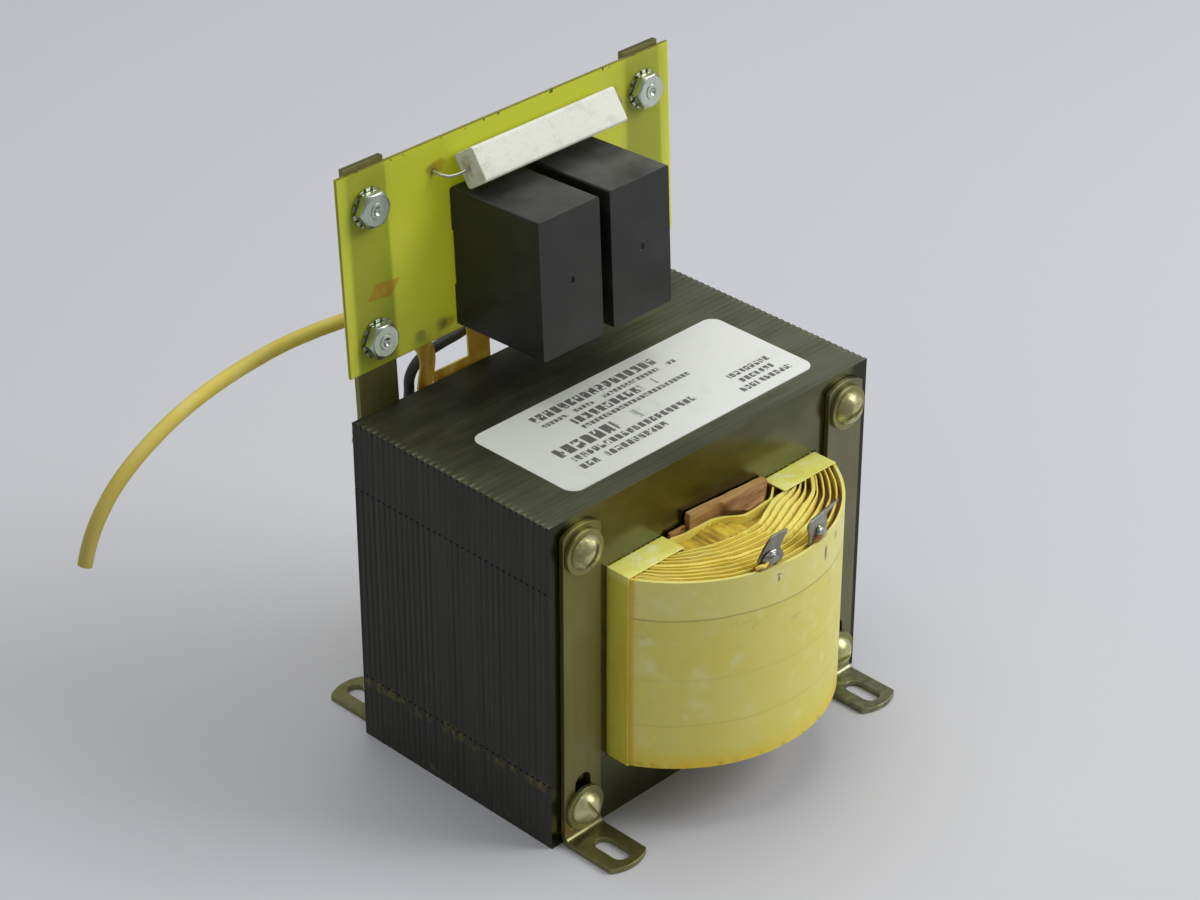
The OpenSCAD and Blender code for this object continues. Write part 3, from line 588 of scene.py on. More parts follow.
@dataclass(frozen=True)
class Wrap(Varnished):
    """The coil's outer tape, with the edges of its turns in dark lines with painted shadow, and amber creases
    at its flat sides.
    """

    turns: tuple[Pair, ...] = ((64.3, 0.5), (46.5, 0.1), (33.0, 0.16))
    # Colour of the dark strokes at the turns' edges, with their painted shadow.
    edge_line_and_shade: Triple = (0.26, 0.20, 0.04)
    shade: Triple = (0.56, 0.48, 0.035)
    bleached: Triple = (0.84, 0.79, 0.30)
    cream: Triple = (0.93, 0.91, 0.56)
    honey: Triple = (0.80, 0.66, 0.045)
    scorched: Triple = (0.20, 0.09, 0.01)
    amber: Triple = (0.72, 0.47, 0.006)
    smudge: Triple = (0.46, 0.41, 0.11)
    ink: Triple = (0.03, 0.03, 0.035)
    crease: float = -42.5
    flat_behind: Pair = (-34.0, -36.0)
    bow_before: Pair = (-50.0, -52.0)
    soaked_up_to: Pair = (3.0, 17.0)
    dried_above: Pair = (4.0, 22.0)
    burnt_up_to: Pair = (0.6, 2.2)
    soiled_above: Pair = (44.0, 60.0)
    marks: tuple[Spot, ...] = (
        (-7.4, 71.6, 0.4, 1.3), (-7.4, 72.8, 0.9, 0.3), (10.6, 70.6, 0.8, 2.8), (16.4, 72.4, 0.5, 1.4))

    def draw(self, s: Sketch) -> None:
        """Add turn edges with painted shadow, amber creases and short ink marks to the varnished sheet.

        Args:
            s: The sketch to draw in.
        """
        super().draw(s)
        edges = self._turn_edges(s)
        # Dark stroke along each turn's edge, with painted shadow beside it.
        colour = s.over(self._aged(s, s.base()), self.edge_line_and_shade, edges)
        colour = self._creased(s, colour)
        in_front = s.ease(s.y, *self.bow_before)
        for x, z, wide, tall in self.marks:
            mark = s.blot(x, z, wide, tall, 0.8)
            colour = s.over(colour, self.ink, s.times(mark, in_front, 0.75))
        s.set(base_color=colour)
        s.bump(edges, 0.2, 0.6)

    def _above_low(self, s: Sketch, reach: Pair, to_low: float, to_high: float) -> bpy.types.NodeSocket:
        """Return a smooth step over heights that are measured from the coil's lower end.

        Args:
            s: The sketch.
            reach: Where the step starts and ends.
            to_low: The result below the step.
            to_high: The result above it.

        Returns:
            The result's socket.
        """
        low = self.ends()[0]
        return s.ease(s.z, low + reach[0], low + reach[1], to_low, to_high)

    def _turn_edges(self, s: Sketch) -> Number:
        """Draw the wandering edges of the tape's turns.

        Args:
            s: The sketch.

        Returns:
            The mask of the edges.
        """
        level = s.total(s.z, s.times(s.math("SUBTRACT", s.noise(26, 2), 0.5), 1.6))
        edges: Number = 0.0
        for place, strength in self.turns:
            edges = s.most(edges, s.times(s.band(level, place, 0.08, 0.3), strength))
        return edges

    def _aged(self, s: Sketch, colour: Paint) -> bpy.types.NodeSocket:
        """Return a colour bleached above the first turn, honey-brown below and dried to cream in clouds.

        Args:
            s: The sketch.
            colour: The colour underneath.

        Returns:
            The colour's socket.
        """
        first = self.turns[0][0]
        colour = s.over(colour, self.bleached, s.times(s.ease(s.z, first - 1.0, first + 1.0), 0.4))
        runs = s.ease(s.noise(9, 3, (1.0, 1.0, 1.6), 17.0), 0.3, 0.62)
        soaked = s.times(self._above_low(s, self.soaked_up_to, 0.85, 0.15), runs)
        colour = s.over(colour, self.honey, s.times(soaked, 0.7))
        clouds = s.ease(s.noise(9, 2.0, (1.3, 1.0, 1.0), 21.0), 0.48, 0.78)
        dried = s.times(clouds, self._above_low(s, self.dried_above, 0.0, 1.0))
        return s.over(colour, self.cream, s.times(dried, 0.36))

    def _creased(self, s: Sketch, colour: Paint) -> bpy.types.NodeSocket:
        """Return a colour with shaded flat sides, smudges, amber creases and a scorched lower edge.

        Args:
            s: The sketch.
            colour: The colour underneath.

        Returns:
            The colour's socket.
        """
        flat = s.times(s.ease(s.y, self.crease - 0.4, self.crease + 0.4), s.ease(s.y, *self.flat_behind))
        colour = s.over(colour, self.shade, s.times(flat, 0.8))
        soiled = s.ease(s.noise(5, 4, (2.0, 1.0, 1.0), 14.0), 0.6, 0.72)
        colour = s.over(colour, self.smudge, s.times(soiled, s.ease(s.z, *self.soiled_above), 0.4))
        near = s.band(s.y, self.crease - 0.2, 0.3, 0.9)
        patchy = s.ease(s.noise(7, 4, (1.0, 1.0, 4.0), 9.0), 0.15, 0.6)
        colour = s.over(colour, self.amber, s.times(near, patchy, 0.85))
        spots = s.ease(s.noise(4, 4, shift=11.0), 0.5, 0.66)
        burnt = s.times(self._above_low(s, self.burnt_up_to, 1.0, 0.0), spots)
        return s.over(colour, self.scorched, s.times(burnt, 0.4))


@dataclass(frozen=True)
class Tape(Varnished):
    """Corner tape, clean on the coil's end, with painted shade and amber streaks down its side."""

    # Painted shade for the tape's side, then the amber of its streaks.
    soaked: Triple = (0.72, 0.645, 0.060)
    streak: Triple = (0.68, 0.44, 0.015)
    rubbed: Triple = (0.95, 0.93, 0.60)
    oily: Triple = (0.74, 0.66, 0.075)
    soaked_below: float = 3.0

    def draw(self, s: Sketch) -> None:
        """Add oily and rubbed patches, and painted shade with amber streaks down the side, to the varnished
        sheet.

        Args:
            s: The sketch to draw in.
        """
        super().draw(s)
        spread = s.ease(s.noise(5, 4, (1.6, 1.0, 1.0), 13.0), 0.4, 0.66)
        clean = s.over(s.base(), self.oily, s.times(spread, 0.6))
        clean = s.over(clean, self.rubbed, s.times(s.ease(s.noise(3.5, 4, shift=19.0), 0.5, 0.7), 0.6))
        end = self.ends()[1]
        # Below the top, the side gets painted shade with amber streaks over it.
        side = s.ease(s.z, end - self.soaked_below, end, 1.0, 0.0)
        streaks = s.ease(s.noise(5, 4, (1.0, 1.0, 5.0), 7.0), 0.45, 0.7)
        soaked = s.over(self.soaked, self.streak, s.times(streaks, 0.5))
        s.set(base_color=s.over(clean, soaked, s.times(side, 0.9)))


@dataclass(frozen=True)
class LayerPaper(Varnished):
    """Paper between the wire layers, soaked brown below its edge where the coil runs to the right."""

    soaked: Triple = (0.36, 0.14, 0.008)
    soaked_below: Pair = (2.0, 0.4)
    soaked_from: Pair = (9.0, 21.0)

    def draw(self, s: Sketch) -> None:
        """Add the brown soaking to the varnished sheet.

        Args:
            s: The sketch to draw in.
        """
        super().draw(s)
        end = self.ends()[1]
        below = s.ease(s.z, end - self.soaked_below[0], end - self.soaked_below[1], 1.0, 0.12)
        right = s.ease(s.x, *self.soaked_from)
        blotches = s.ease(s.noise(4, 4, shift=9.0), 0.3, 0.62, 0.25, 1.0)
        s.set(base_color=s.over(s.base(), self.soaked, s.times(below, right, blotches, 0.85)))


@dataclass(frozen=True)
class PackedPaper(Varnished):
    """Paper edges pressed together over the wire, in lines that follow the coil's bow."""

    bow: float = BOW / MM
    pitch: float = 0.6
    # Colour of the painted shade in the gaps between paper edges.
    edge_line_and_shade: Triple = (0.48, 0.26, 0.018)

    def draw(self, s: Sketch) -> None:
        """Draw the edges of single papers along the bow, with browner painted shade in the gaps between them.

        Args:
            s: The sketch to draw in.
        """
        super().draw(s)
        drop = s.math("SQRT", s.math("SUBTRACT", self.bow ** 2, s.times(s.x, s.x)))
        across = s.math("SUBTRACT", s.math("ABSOLUTE", s.y), drop)
        wander = s.times(s.noise(7, 3, shift=3.0), 0.9)
        edges = s.ridges(s.total(across, wander), self.pitch)
        # Painted shade in the gaps between the paper edges.
        gap_shade = s.times(s.ease(edges, 0.45, 0.1), s.ease(s.noise(5, 3, shift=8.0), 0.3, 0.7))
        s.set(base_color=s.over(s.base(), self.edge_line_and_shade, s.times(gap_shade, 0.7)))
        s.bump(edges, 0.25, 0.7)


@dataclass(frozen=True)
class Crepe(Finish):
    """Crinkled yellow paper, darker in the hollows of its fine crinkles as painted shade."""

    crest: Triple = (0.74, 0.56, 0.05)
    # Colour of the painted shade in the crinkles' hollows.
    groove_shade: Triple = (0.42, 0.28, 0.02)

    def draw(self, s: Sketch) -> None:
        """Draw fine crinkles, with painted shade in their hollows.

        Args:
            s: The sketch to draw in.
        """
        tone = s.noise(2.5, 4, (1.0, 2.0, 1.0))
        # The colour follows the crinkles' height: painted shade in the hollows.
        s.set(base_color=s.ramp(tone, (0.35, self.groove_shade), (0.65, self.crest)), roughness=0.55)
        s.set(subsurface_weight=0.2, subsurface_radius=(1.0, 0.6, 0.15), subsurface_scale=1.5 * MM)
        s.bump(tone, 0.15, 0.6)


@dataclass(frozen=True)
class Wire(Finish):
    """Enamelled wire in even turns under amber varnish."""

    crest: Triple = (0.50, 0.30, 0.045)
    # Colour of the painted shade in the grooves between turns.
    groove_shade: Triple = (0.20, 0.09, 0.016)
    pitch: float = 1.5

    def draw(self, s: Sketch) -> None:
        """Draw level turns one above another, with painted shade in the grooves between them.

        Args:
            s: The sketch to draw in.
        """
        turns = s.ridges(s.z, self.pitch)
        tone = s.times(turns, s.total(0.6, s.times(s.noise(6, 3), 0.6)))
        # Painted shade: the colour darkens into the grooves between turns.
        s.set(base_color=s.ramp(tone, (0.05, self.groove_shade), (0.6, self.crest)), roughness=0.3, metallic=0.35)
        s.set(coat_weight=0.4, coat_roughness=0.2)
        s.bump(turns, 0.5, 0.9)


@dataclass(frozen=True)
class Metal(Finish):
    """Plated metal with patchy plating and fine scratches, chalky or rusted where the damp sat."""

    base_colour: Triple = (0.180, 0.175, 0.048)
    patch: Triple = (0.235, 0.232, 0.090)
    rust: Triple = (0.20, 0.090, 0.014)
    rust_at: float = 5.2
    rust_half: float = 1.2
    rust_soft: float = 1.7
    rusting: float = 0.0
    gloss: float = 0.34
    metallic: float = 0.85
    chalk: Triple = (0.40, 0.40, 0.235)
    chalk_below: Pair = (2.0, 6.0)
    chalking: float = 0.0

    def draw(self, s: Sketch) -> None:
        """Draw the plating, its scratches, its chalky foot and its rust.

        Args:
            s: The sketch to draw in.
        """
        patches = s.ease(s.noise(14, 4, (1.0, 1.0, 2.0), 1.0), 0.3, 0.75)
        streaks = s.ease(s.noise(1.5, 3, (1.0, 1.0, 25.0), 5.0), 0.35, 0.7)
        plating = s.total(s.times(patches, 0.7), s.times(streaks, 0.3))
        colour = s.over(self.base_colour, self.patch, plating)
        if self.chalking > 0:
            specks = s.ease(s.noise(1.8, 5, shift=12.0), 0.2, 0.85)
            low = s.ease(s.z, *self.chalk_below, 1.0, 0.0)
            colour = s.over(colour, self.chalk, s.times(specks, low, self.chalking))
        dull: Number = 0.0
        if self.rusting > 0:
            spots = s.ease(s.noise(2.2, 5, shift=4.0), 0.38, 0.54)
            near = s.band(s.z, self.rust_at, self.rust_half, self.rust_soft)
            dull = s.times(spots, s.total(s.times(near, 0.94), 0.06), self.rusting)
            colour = s.over(colour, self.rust, dull)
        s.set(base_color=colour, metallic=s.times(s.math("SUBTRACT", 1.0, dull), self.metallic))
        s.set(roughness=s.total(self.gloss - 0.06, s.times(s.noise(3, 4, shift=7.0), 0.16)))
        s.bump(s.noise(0.7, 3, (1.0, 1.0, 14.0)), 0.015, 0.4)
        s.bump(s.noise(2.2, 3, shift=2.0), 0.03, 0.25)


@dataclass(frozen=True)
class Wood(Finish):
    """Red-brown hardwood, split along its grain, paler where it was sawn."""

    pale: Triple = (0.41, 0.225, 0.07)
    dark: Triple = (0.12, 0.05, 0.018)
    sawn: Triple = (0.52, 0.33, 0.12)
    split: Triple = (0.15, 0.06, 0.016)
    split_before: Pair = (37.2, 38.0)
    sawn_above: Pair = (77.2, 77.8)

    def draw(self, s: Sketch) -> None:
        """Draw long grain along X with darker pores, a sawn top and a darker split front.

        Args:
            s: The sketch to draw in.
        """
        grain = s.noise(1.6, 5, (12.0, 1.0, 1.0))
        pores = s.ease(s.noise(0.5, 3, (16.0, 1.0, 1.0), 3.0), 0.3, 0.5)
        tone = s.times(grain, s.total(0.55, s.times(pores, 0.6)))
        colour = s.ramp(tone, (0.18, self.dark), (0.62, self.pale))
        front = s.ease(s.math("ABSOLUTE", s.y), *self.split_before)
        torn = s.ease(s.noise(3, 4, (4.0, 1.0, 1.0), 6.0), 0.3, 0.65)
        colour = s.over(colour, self.split, s.times(front, torn, 0.7))
        top = s.times(s.ease(s.z, *self.sawn_above), s.math("SUBTRACT", 1.0, front))
        colour = s.over(colour, self.sawn, s.times(top, s.total(0.25, s.times(grain, 0.6))))
        s.set(base_color=colour, roughness=0.7, specular_ior_level=0.3)
        s.bump(grain, 0.3, 0.6)


@dataclass(frozen=True)
class BoardLaminate(Finish):
    """Translucent glass-fibre laminate, with painted shade where the straps stand behind it and towards its
    upper edge.
    """

    body: Triple = (0.56, 0.62, 0.058)
    cloud: Triple = (0.62, 0.66, 0.085)
    # Colour of the painted shade.
    shaded: Triple = (0.36, 0.40, 0.016)
    edge: Triple = (0.10, 0.075, 0.022)
    marker: Triple = (0.50, 0.19, 0.012)
    flux: Triple = (0.30, 0.15, 0.012)
    speck: Triple = (0.02, 0.018, 0.012)
    strap_half: float = 5.6
    strap_soft: float = 1.6
    low: float = 107.44
    high: float = 161.38
    # Where the painted shade towards the upper edge starts.
    shade_above: float = 122.0
    weave_pitch: float = 0.9
    dab_at: Pair = (-44.6, 127.6)
    dab_half: Pair = (4.0, 1.9)
    dab_slant: float = 0.84
    dab_fall: float = 0.126
    stains: tuple[Spot, ...] = ((-25.2, 154.0, 4.0, 2.4), (-24.0, 110.8, 3.4, 2.0))

    def draw(self, s: Sketch) -> None:
        """Draw the weave, the straps' painted shade, painted shade towards the upper edge, browned edges, a
        marker dab and flux stains.

        Args:
            s: The sketch to draw in.
        """
        width = s.math("ABSOLUTE", s.x)
        clouds = s.noise(26, 3, shift=3.0)
        colour = s.over(self.body, self.cloud, clouds)
        # Painted shade, darker towards the upper edge.
        painted_upper_shade = s.ease(s.z, self.shade_above, self.high, 0.0, 0.55)
        strap = sum(corner.x for corner in corners("rear_right_strap")) / 2
        # Painted shadow of the strap that stands behind the board.
        behind = s.times(s.band(width, strap, self.strap_half, self.strap_soft), 0.8)
        colour = s.over(colour, self.shaded, s.most(painted_upper_shade, behind))
        patchy = s.ease(s.noise(3, 2, shift=5.0), 0.2, 0.6, 0.35, 0.7)
        colour = s.over(colour, self.marker, s.times(self._dab(s), patchy))
        for x, z, wide, tall in self.stains:
            colour = s.over(colour, self.flux, s.times(s.blot(x, z, wide, tall, 1.1), 0.6))
        colour = s.over(colour, self.edge, s.times(self._rim(s, width), 0.85))
        near_top = s.ease(s.z, self.high - 1.1, self.high - 0.5)
        specks = s.ease(s.noise(2.6, 2, shift=6.0), 0.66, 0.7)
        colour = s.over(colour, self.speck, s.times(near_top, specks))
        s.set(base_color=colour, roughness=s.total(0.34, s.times(clouds, 0.15)), specular_ior_level=0.35)
        s.set(subsurface_weight=0.85, subsurface_radius=(1.0, 1.0, 0.2), subsurface_scale=5.0 * MM)
        weave = s.times(s.ridges(s.x, self.weave_pitch), s.ridges(s.z, self.weave_pitch))
        s.bump(weave, 0.03, 0.5)

    def _dab(self, s: Sketch) -> bpy.types.NodeSocket:
        """Draw a slanted dab of marker.

        Args:
            s: The sketch.

        Returns:
            The dab's mask.
        """
        x, z = self.dab_at
        slant = s.math("SUBTRACT", s.x, s.times(s.math("SUBTRACT", s.z, z), self.dab_slant))
        level = s.total(s.z, s.times(s.math("SUBTRACT", s.x, x), self.dab_fall))
        return s.times(s.band(slant, x, self.dab_half[0], 0.5), s.band(level, z, self.dab_half[1], 0.5))

    def _rim(self, s: Sketch, width: Number) -> bpy.types.NodeSocket:
        """Return the mask of the board's narrow edges.

        Args:
            s: The sketch.
            width: Distance from the board's middle.

        Returns:
            The mask's socket.
        """
        half = corners("circuit_board")[1].x
        side = s.ease(width, half - 0.35, half - 0.1)
        top = s.ease(s.z, self.high - 0.3, self.high - 0.1)
        low = s.ease(s.z, self.low + 0.1, self.low + 0.3, 1.0, 0.0)
        return s.most(side, s.most(top, low))


@dataclass(frozen=True)
class BlackCase(Finish):
    """Satin black moulded plastic with a faint grey bloom, and dust on its top with painted sheen that grows
    to the right.
    """

    body: Triple = (0.0115, 0.0130, 0.0098)
    bloom: Triple = (0.028, 0.030, 0.024)
    dust: Triple = (0.085, 0.087, 0.075)
    # Where the dust with painted sheen grows, to the right.
    dust_and_sheen_towards: Pair = (-8.0, 26.0)

    def draw(self, s: Sketch) -> None:
        """Draw a fine moulded texture, rubbed patches, and settled dust with painted sheen that grows to the
        right.

        Args:
            s: The sketch to draw in.
        """
        rubbed = s.ease(s.noise(11, 5, shift=5.0), 0.42, 0.75)
        settled = s.times(s.ease(s.up, 0.7, 0.95), s.ease(s.noise(17, 4, shift=1.0), 0.25, 0.7))
        # Dust on the tops, lighter towards the right as painted sheen.
        settled = s.times(settled, s.ease(s.x, *self.dust_and_sheen_towards, 0.85, 2.3))
        plastic = s.over(self.body, self.bloom, rubbed)
        s.set(base_color=s.over(plastic, self.dust, s.times(settled, 0.6)))
        s.set(roughness=s.total(0.40, s.times(rubbed, 0.16)), specular_ior_level=0.4)
        s.bump(s.noise(0.45, 2), 0.02, 0.6)


@dataclass(frozen=True)
class Cement(Finish):
    """Chalky white ceramic with a few grey scuffs and a scorched left end."""

    body: Triple = (0.79, 0.80, 0.69)
    scuff: Triple = (0.50, 0.50, 0.40)
    scorch: Triple = (0.34, 0.24, 0.11)
    scorched_over: float = 4.0

    def draw(self, s: Sketch) -> None:
        """Draw pores, scuffs and the scorch.

        Args:
            s: The sketch to draw in.
        """
        pores = s.ease(s.noise(0.5, 3), 0.58, 0.68)
        dirt = s.ease(s.noise(6, 5, shift=4.0), 0.5, 0.78)
        colour = s.over(self.body, self.scuff, s.total(s.times(dirt, 0.5), s.times(pores, 0.3)))
        left = corners("resistor")[0].x
        end = s.ease(s.x, left, left + self.scorched_over, 1.0, 0.0)
        browned = s.times(end, s.ease(s.noise(3, 4), 0.45, 0.75))
        s.set(base_color=s.over(colour, self.scorch, s.times(browned, 0.55)))
        s.set(roughness=s.total(0.62, s.times(dirt, 0.15)))
        s.bump(pores, -0.08, 0.6)


@dataclass(frozen=True)
class Sleeve(Finish):
    """Flexible insulation with dust in its surface, and grime with painted shade towards the left."""

    body: Triple = (0.80, 0.64, 0.10)
    dust: Triple = (0.84, 0.74, 0.24)
    # Grime with painted shade at the far end.
    handled: Triple = (0.38, 0.31, 0.075)
    grimy_and_shaded_from: Pair = (-143.0, -78.0)
    gloss: float = 0.46

    def draw(self, s: Sketch) -> None:
        """Draw the insulation, its dusty patches, and the grime with painted shade towards its far end.

        Args:
            s: The sketch to draw in.
        """
        patches = s.ease(s.noise(7, 4, shift=2.0), 0.4, 0.7)
        colour = s.over(self.body, self.dust, s.times(patches, 0.6))
        # Grime with painted shade, darker towards the far end.
        grime = s.ease(s.x, *self.grimy_and_shaded_from, 0.9, 0.0)
        s.set(base_color=s.over(colour, self.handled, grime), specular_ior_level=0.3)
        s.set(roughness=s.total(self.gloss, s.times(patches, 0.15)))
        s.bump(s.noise(1.2, 3), 0.04, 0.5)


@dataclass(frozen=True)
class Amber(Finish):
    """Film strip stained amber by varnish."""

    body: Triple = (0.56, 0.38, 0.035)
    pale: Triple = (0.88, 0.71, 0.18)

    def draw(self, s: Sketch) -> None:
        """Draw streaks of varnish along the strip.

        Args:
            s: The sketch to draw in.
        """
        streaks = s.ease(s.noise(4, 4, (1.0, 1.0, 3.0)), 0.36, 0.68)
        s.set(base_color=s.over(self.body, self.pale, streaks), roughness=0.28)
        s.set(subsurface_weight=0.6, subsurface_radius=(1.0, 0.6, 0.1), subsurface_scale=2.0 * MM)
        s.set(coat_weight=0.5, coat_roughness=0.12)
        s.bump(s.noise(3, 3), 0.15, 0.4)


@dataclass(frozen=True)
class LabelFilm(Finish):
    """White film label with rows of plain dark bars."""

    body: Triple = (0.80, 0.815, 0.765)
    # Colour of the dirt and of the painted shade towards the left.
    grime: Triple = (0.50, 0.52, 0.44)
    bar: Triple = (0.02, 0.02, 0.024)
    shade_towards: Pair = (20.0, -40.0)
    rows: tuple[Row, ...] = (
        (13.0, 1.5, -27.0, 16.0), (9.2, 0.7, -27.0, 20.0), (5.6, 1.4, -20.0, 9.0), (2.2, 0.75, -20.0, 20.0),
        (-2.6, 2.0, -34.0, 2.0), (-7.2, 1.1, -34.0, 10.0), (-11.0, 1.1, -34.0, -4.0),
        (-6.6, 0.95, 22.0, 38.0), (-10.0, 0.95, 24.0, 36.0), (-13.4, 0.95, 21.0, 39.0),
    )

    def draw(self, s: Sketch) -> None:
        """Draw the film, its grime with painted shade that deepens to the left, and its bars.

        Args:
            s: The sketch to draw in.
        """
        dirt = s.ease(s.noise(12, 5), 0.5, 0.8)
        # Dirt in patches, and painted shade that deepens towards the left.
        dirt_and_shade = s.total(s.times(dirt, 0.3), s.ease(s.x, *self.shade_towards, 0.0, 0.6))
        colour = s.over(self.body, self.grime, dirt_and_shade)
        s.set(base_color=s.over(colour, self.bar, s.times(self._bars(s), 0.85)))
        s.set(roughness=s.total(0.36, s.times(dirt, 0.2)))
        s.bump(s.noise(8, 3), 0.03, 0.4)

    def _bars(self, s: Sketch) -> Number:
        """Draw bars, broken up along ruled rows that are measured from the label's middle.

        Args:
            s: The sketch.

        Returns:
            The mask of the bars.
        """
        low, high = corners("label")
        across = s.math("SUBTRACT", s.x, (low.x + high.x) / 2)
        down = s.math("SUBTRACT", s.y, (low.y + high.y) / 2)
        bars: Number = 0.0
        for y, half, start, end in self.rows:
            row = s.band(down, y, half, 0.15)
            span = s.band(across, (start + end) / 2, (end - start) / 2, 0.2)
            strokes = s.ease(s.noise(0.6 * half + 0.2, 1, (1.0, 1.5, 400.0), y), 0.35, 0.42)
            spaces = s.ease(s.ridges(s.total(across, y * 3.7), 1.5 * half + 0.35), 0.04, 0.2)
            groups = s.ease(s.noise(4.2 * half + 3.0, 1, (1.0, 400.0, 400.0), y), 0.36, 0.4)
            bars = s.most(bars, s.times(row, span, strokes, spaces, groups))
        return bars


@dataclass(frozen=True)
class Finishes:
    """Every finish on the part."""

    core: Finish = CoreSteel("core_steel")
    paper: Finish = LayerPaper(
        "layer_paper", base_colour=(0.90, 0.74, 0.14), mottle=(0.92, 0.80, 0.24), deep=(0.46, 0.22, 0.02),
        mottling=0.5, stain=0.4, gloss=0.42, glow=0.4)
    packed: Finish = PackedPaper(
        "packed_paper", base_colour=(0.84, 0.62, 0.10), mottle=(0.90, 0.72, 0.18), mottling=0.8, stain=0.0,
        gloss=0.42, glow=0.3)
    crepe: Finish = Crepe("crinkled_paper")
    wrap: Finish = Wrap("outer_wrap_tape", glow=0.04)
    tape: Finish = Tape(
        "corner_tape", base_colour=(0.88, 0.855, 0.20), mottle=(0.91, 0.90, 0.42), deep=(0.66, 0.42, 0.03),
        mottling=0.6, stain=0.6, gloss=0.3)
    inner_wire: Finish = Wire("inner_wire", crest=(0.56, 0.40, 0.05), pitch=1.7)
    outer_wire: Finish = Wire("outer_wire", crest=(0.46, 0.23, 0.035), pitch=1.1)
    wood: Finish = Wood("wedge_wood")
    strap: Finish = Metal("strap_plate", rusting=0.85, chalking=0.4)
    worn_strap: Finish = Metal(
        "worn_strap_plate", base_colour=(0.150, 0.150, 0.078), patch=(0.205, 0.205, 0.125), rusting=0.85,
        chalking=0.85)
    bolt: Finish = Metal(
        "bolt_plate", base_colour=(0.52, 0.51, 0.20), patch=(0.70, 0.69, 0.42), rust=(0.10, 0.088, 0.022),
        rust_at=88.0, rust_half=10.0, rusting=0.6, gloss=0.38, metallic=0.92)
    washer: Finish = Metal("washer_plate", base_colour=(0.235, 0.228, 0.078), patch=(0.31, 0.305, 0.14))
    zinc: Finish = Metal(
        "bright_zinc", base_colour=(0.43, 0.485, 0.40), patch=(0.64, 0.68, 0.60), gloss=0.28, metallic=0.95)
    tin: Finish = Metal(
        "tinned_metal", base_colour=(0.22, 0.215, 0.165), patch=(0.40, 0.40, 0.335), metallic=0.92)
    bright_tin: Finish = Metal(
        "tinned_wire", base_colour=(0.44, 0.44, 0.38), patch=(0.62, 0.62, 0.56), gloss=0.3, metallic=0.92)
    scorched: Finish = Amber("scorched_sleeve", body=(0.26, 0.10, 0.012), pale=(0.46, 0.22, 0.03))
    solder: Finish = Metal(
        "soft_solder", base_colour=(0.24, 0.24, 0.205), patch=(0.44, 0.44, 0.39), gloss=0.3, metallic=0.95)
    board: Finish = BoardLaminate("board_laminate")
    case: Finish = BlackCase("capacitor_case")
    cement: Finish = Cement("resistor_cement")
    black: Finish = Sleeve("black_sleeve", body=(0.048, 0.048, 0.048), dust=(0.09, 0.09, 0.086), gloss=0.38)
    yellow: Finish = Sleeve("yellow_sleeve")
    amber: Finish = Amber("amber_film")
    gold: Finish = Amber("golden_film", body=(0.66, 0.52, 0.045), pale=(0.93, 0.82, 0.20))
    label: Finish = LabelFilm("label_film")


@dataclass(frozen=True)
class Lamp:
    """A square soft light that faces the object."""

    name: str
    at: Triple
    side: float
    watts: float


@dataclass
class Stage:
    """The camera, the pale floor and the soft lights."""

    camera_at: Triple = (-0.5079, -0.4997, 0.5121)
    camera_aim: Triple = (-0.0052, -0.0003, 0.0799)
    lens: float = 98.03
    sensor: float = 36.0
    near: float = 0.01
    floor_half: float = 3.0
    floor_roughness: float = 0.6
    floor_colour: Triple = (0.60, 0.605, 0.635)
    world_colour: Triple = (0.80, 0.82, 0.86)
    world_level: float = 0.28
    lamp_aim: Triple = (0.0, 0.0, 0.07)
    lamps: tuple[Lamp, ...] = (
        Lamp("key", (0.95, -0.85, 1.05), 0.9, 16.0),
        Lamp("top", (0.1, 0.3, 1.5), 1.3, 11.5),
        Lamp("left_fill", (-1.3, -0.35, 0.7), 1.0, 0.9),
    )

    def build(self) -> None:
        """Place everything that isn't part of the object."""
        self._camera()
        self._floor()
        self._world()
        for lamp in self.lamps:
            self._hang(lamp)

    def _camera(self) -> None:
        """Set the camera at the picture's viewing angle."""
        data = bpy.data.cameras.new("camera")
        data.lens = self.lens
        data.sensor_width = self.sensor
        data.clip_start = self.near
        camera = bpy.data.objects.new("camera", data)
        camera.matrix_world = self._facing(self.camera_at, self.camera_aim)
        bpy.context.scene.collection.objects.link(camera)
        bpy.context.scene.camera = camera

    def _floor(self) -> None:
        """Lay a plain pale floor under the feet."""
        bm = bmesh.new()
        bmesh.ops.create_grid(bm, x_segments=1, y_segments=1, size=self.floor_half)
        floor = to_object("floor", bm)
        sketch = Sketch("floor_paint")
        sketch.set(base_color=self.floor_colour, roughness=self.floor_roughness)
        floor.data.materials.append(sketch.material)

    def _world(self) -> None:
        """Light the scene evenly from all round."""
        world = bpy.data.worlds.new("studio")
        world.use_nodes = True
        background = world.node_tree.nodes["Background"]
        background.inputs["Color"].default_value = (*self.world_colour, 1.0)
        background.inputs["Strength"].default_value = self.world_level
        bpy.context.scene.world = world

    def _hang(self, lamp: Lamp) -> None:
        """Hang one light.

        Args:
            lamp: The light.
        """
        data = bpy.data.lights.new(lamp.name, "AREA")
        data.size = lamp.side
        data.energy = lamp.watts
        light = bpy.data.objects.new(lamp.name, data)
        light.matrix_world = self._facing(lamp.at, self.lamp_aim)
        bpy.context.scene.collection.objects.link(light)

    @staticmethod
    def _facing(at: Triple, aim: Triple) -> Matrix:
        """Return the matrix of something at one place that looks at another."""
        turn = (Vector(aim) - Vector(at)).to_track_quat("-Z", "Y")
        return Matrix.Translation(at) @ turn.to_matrix().to_4x4()


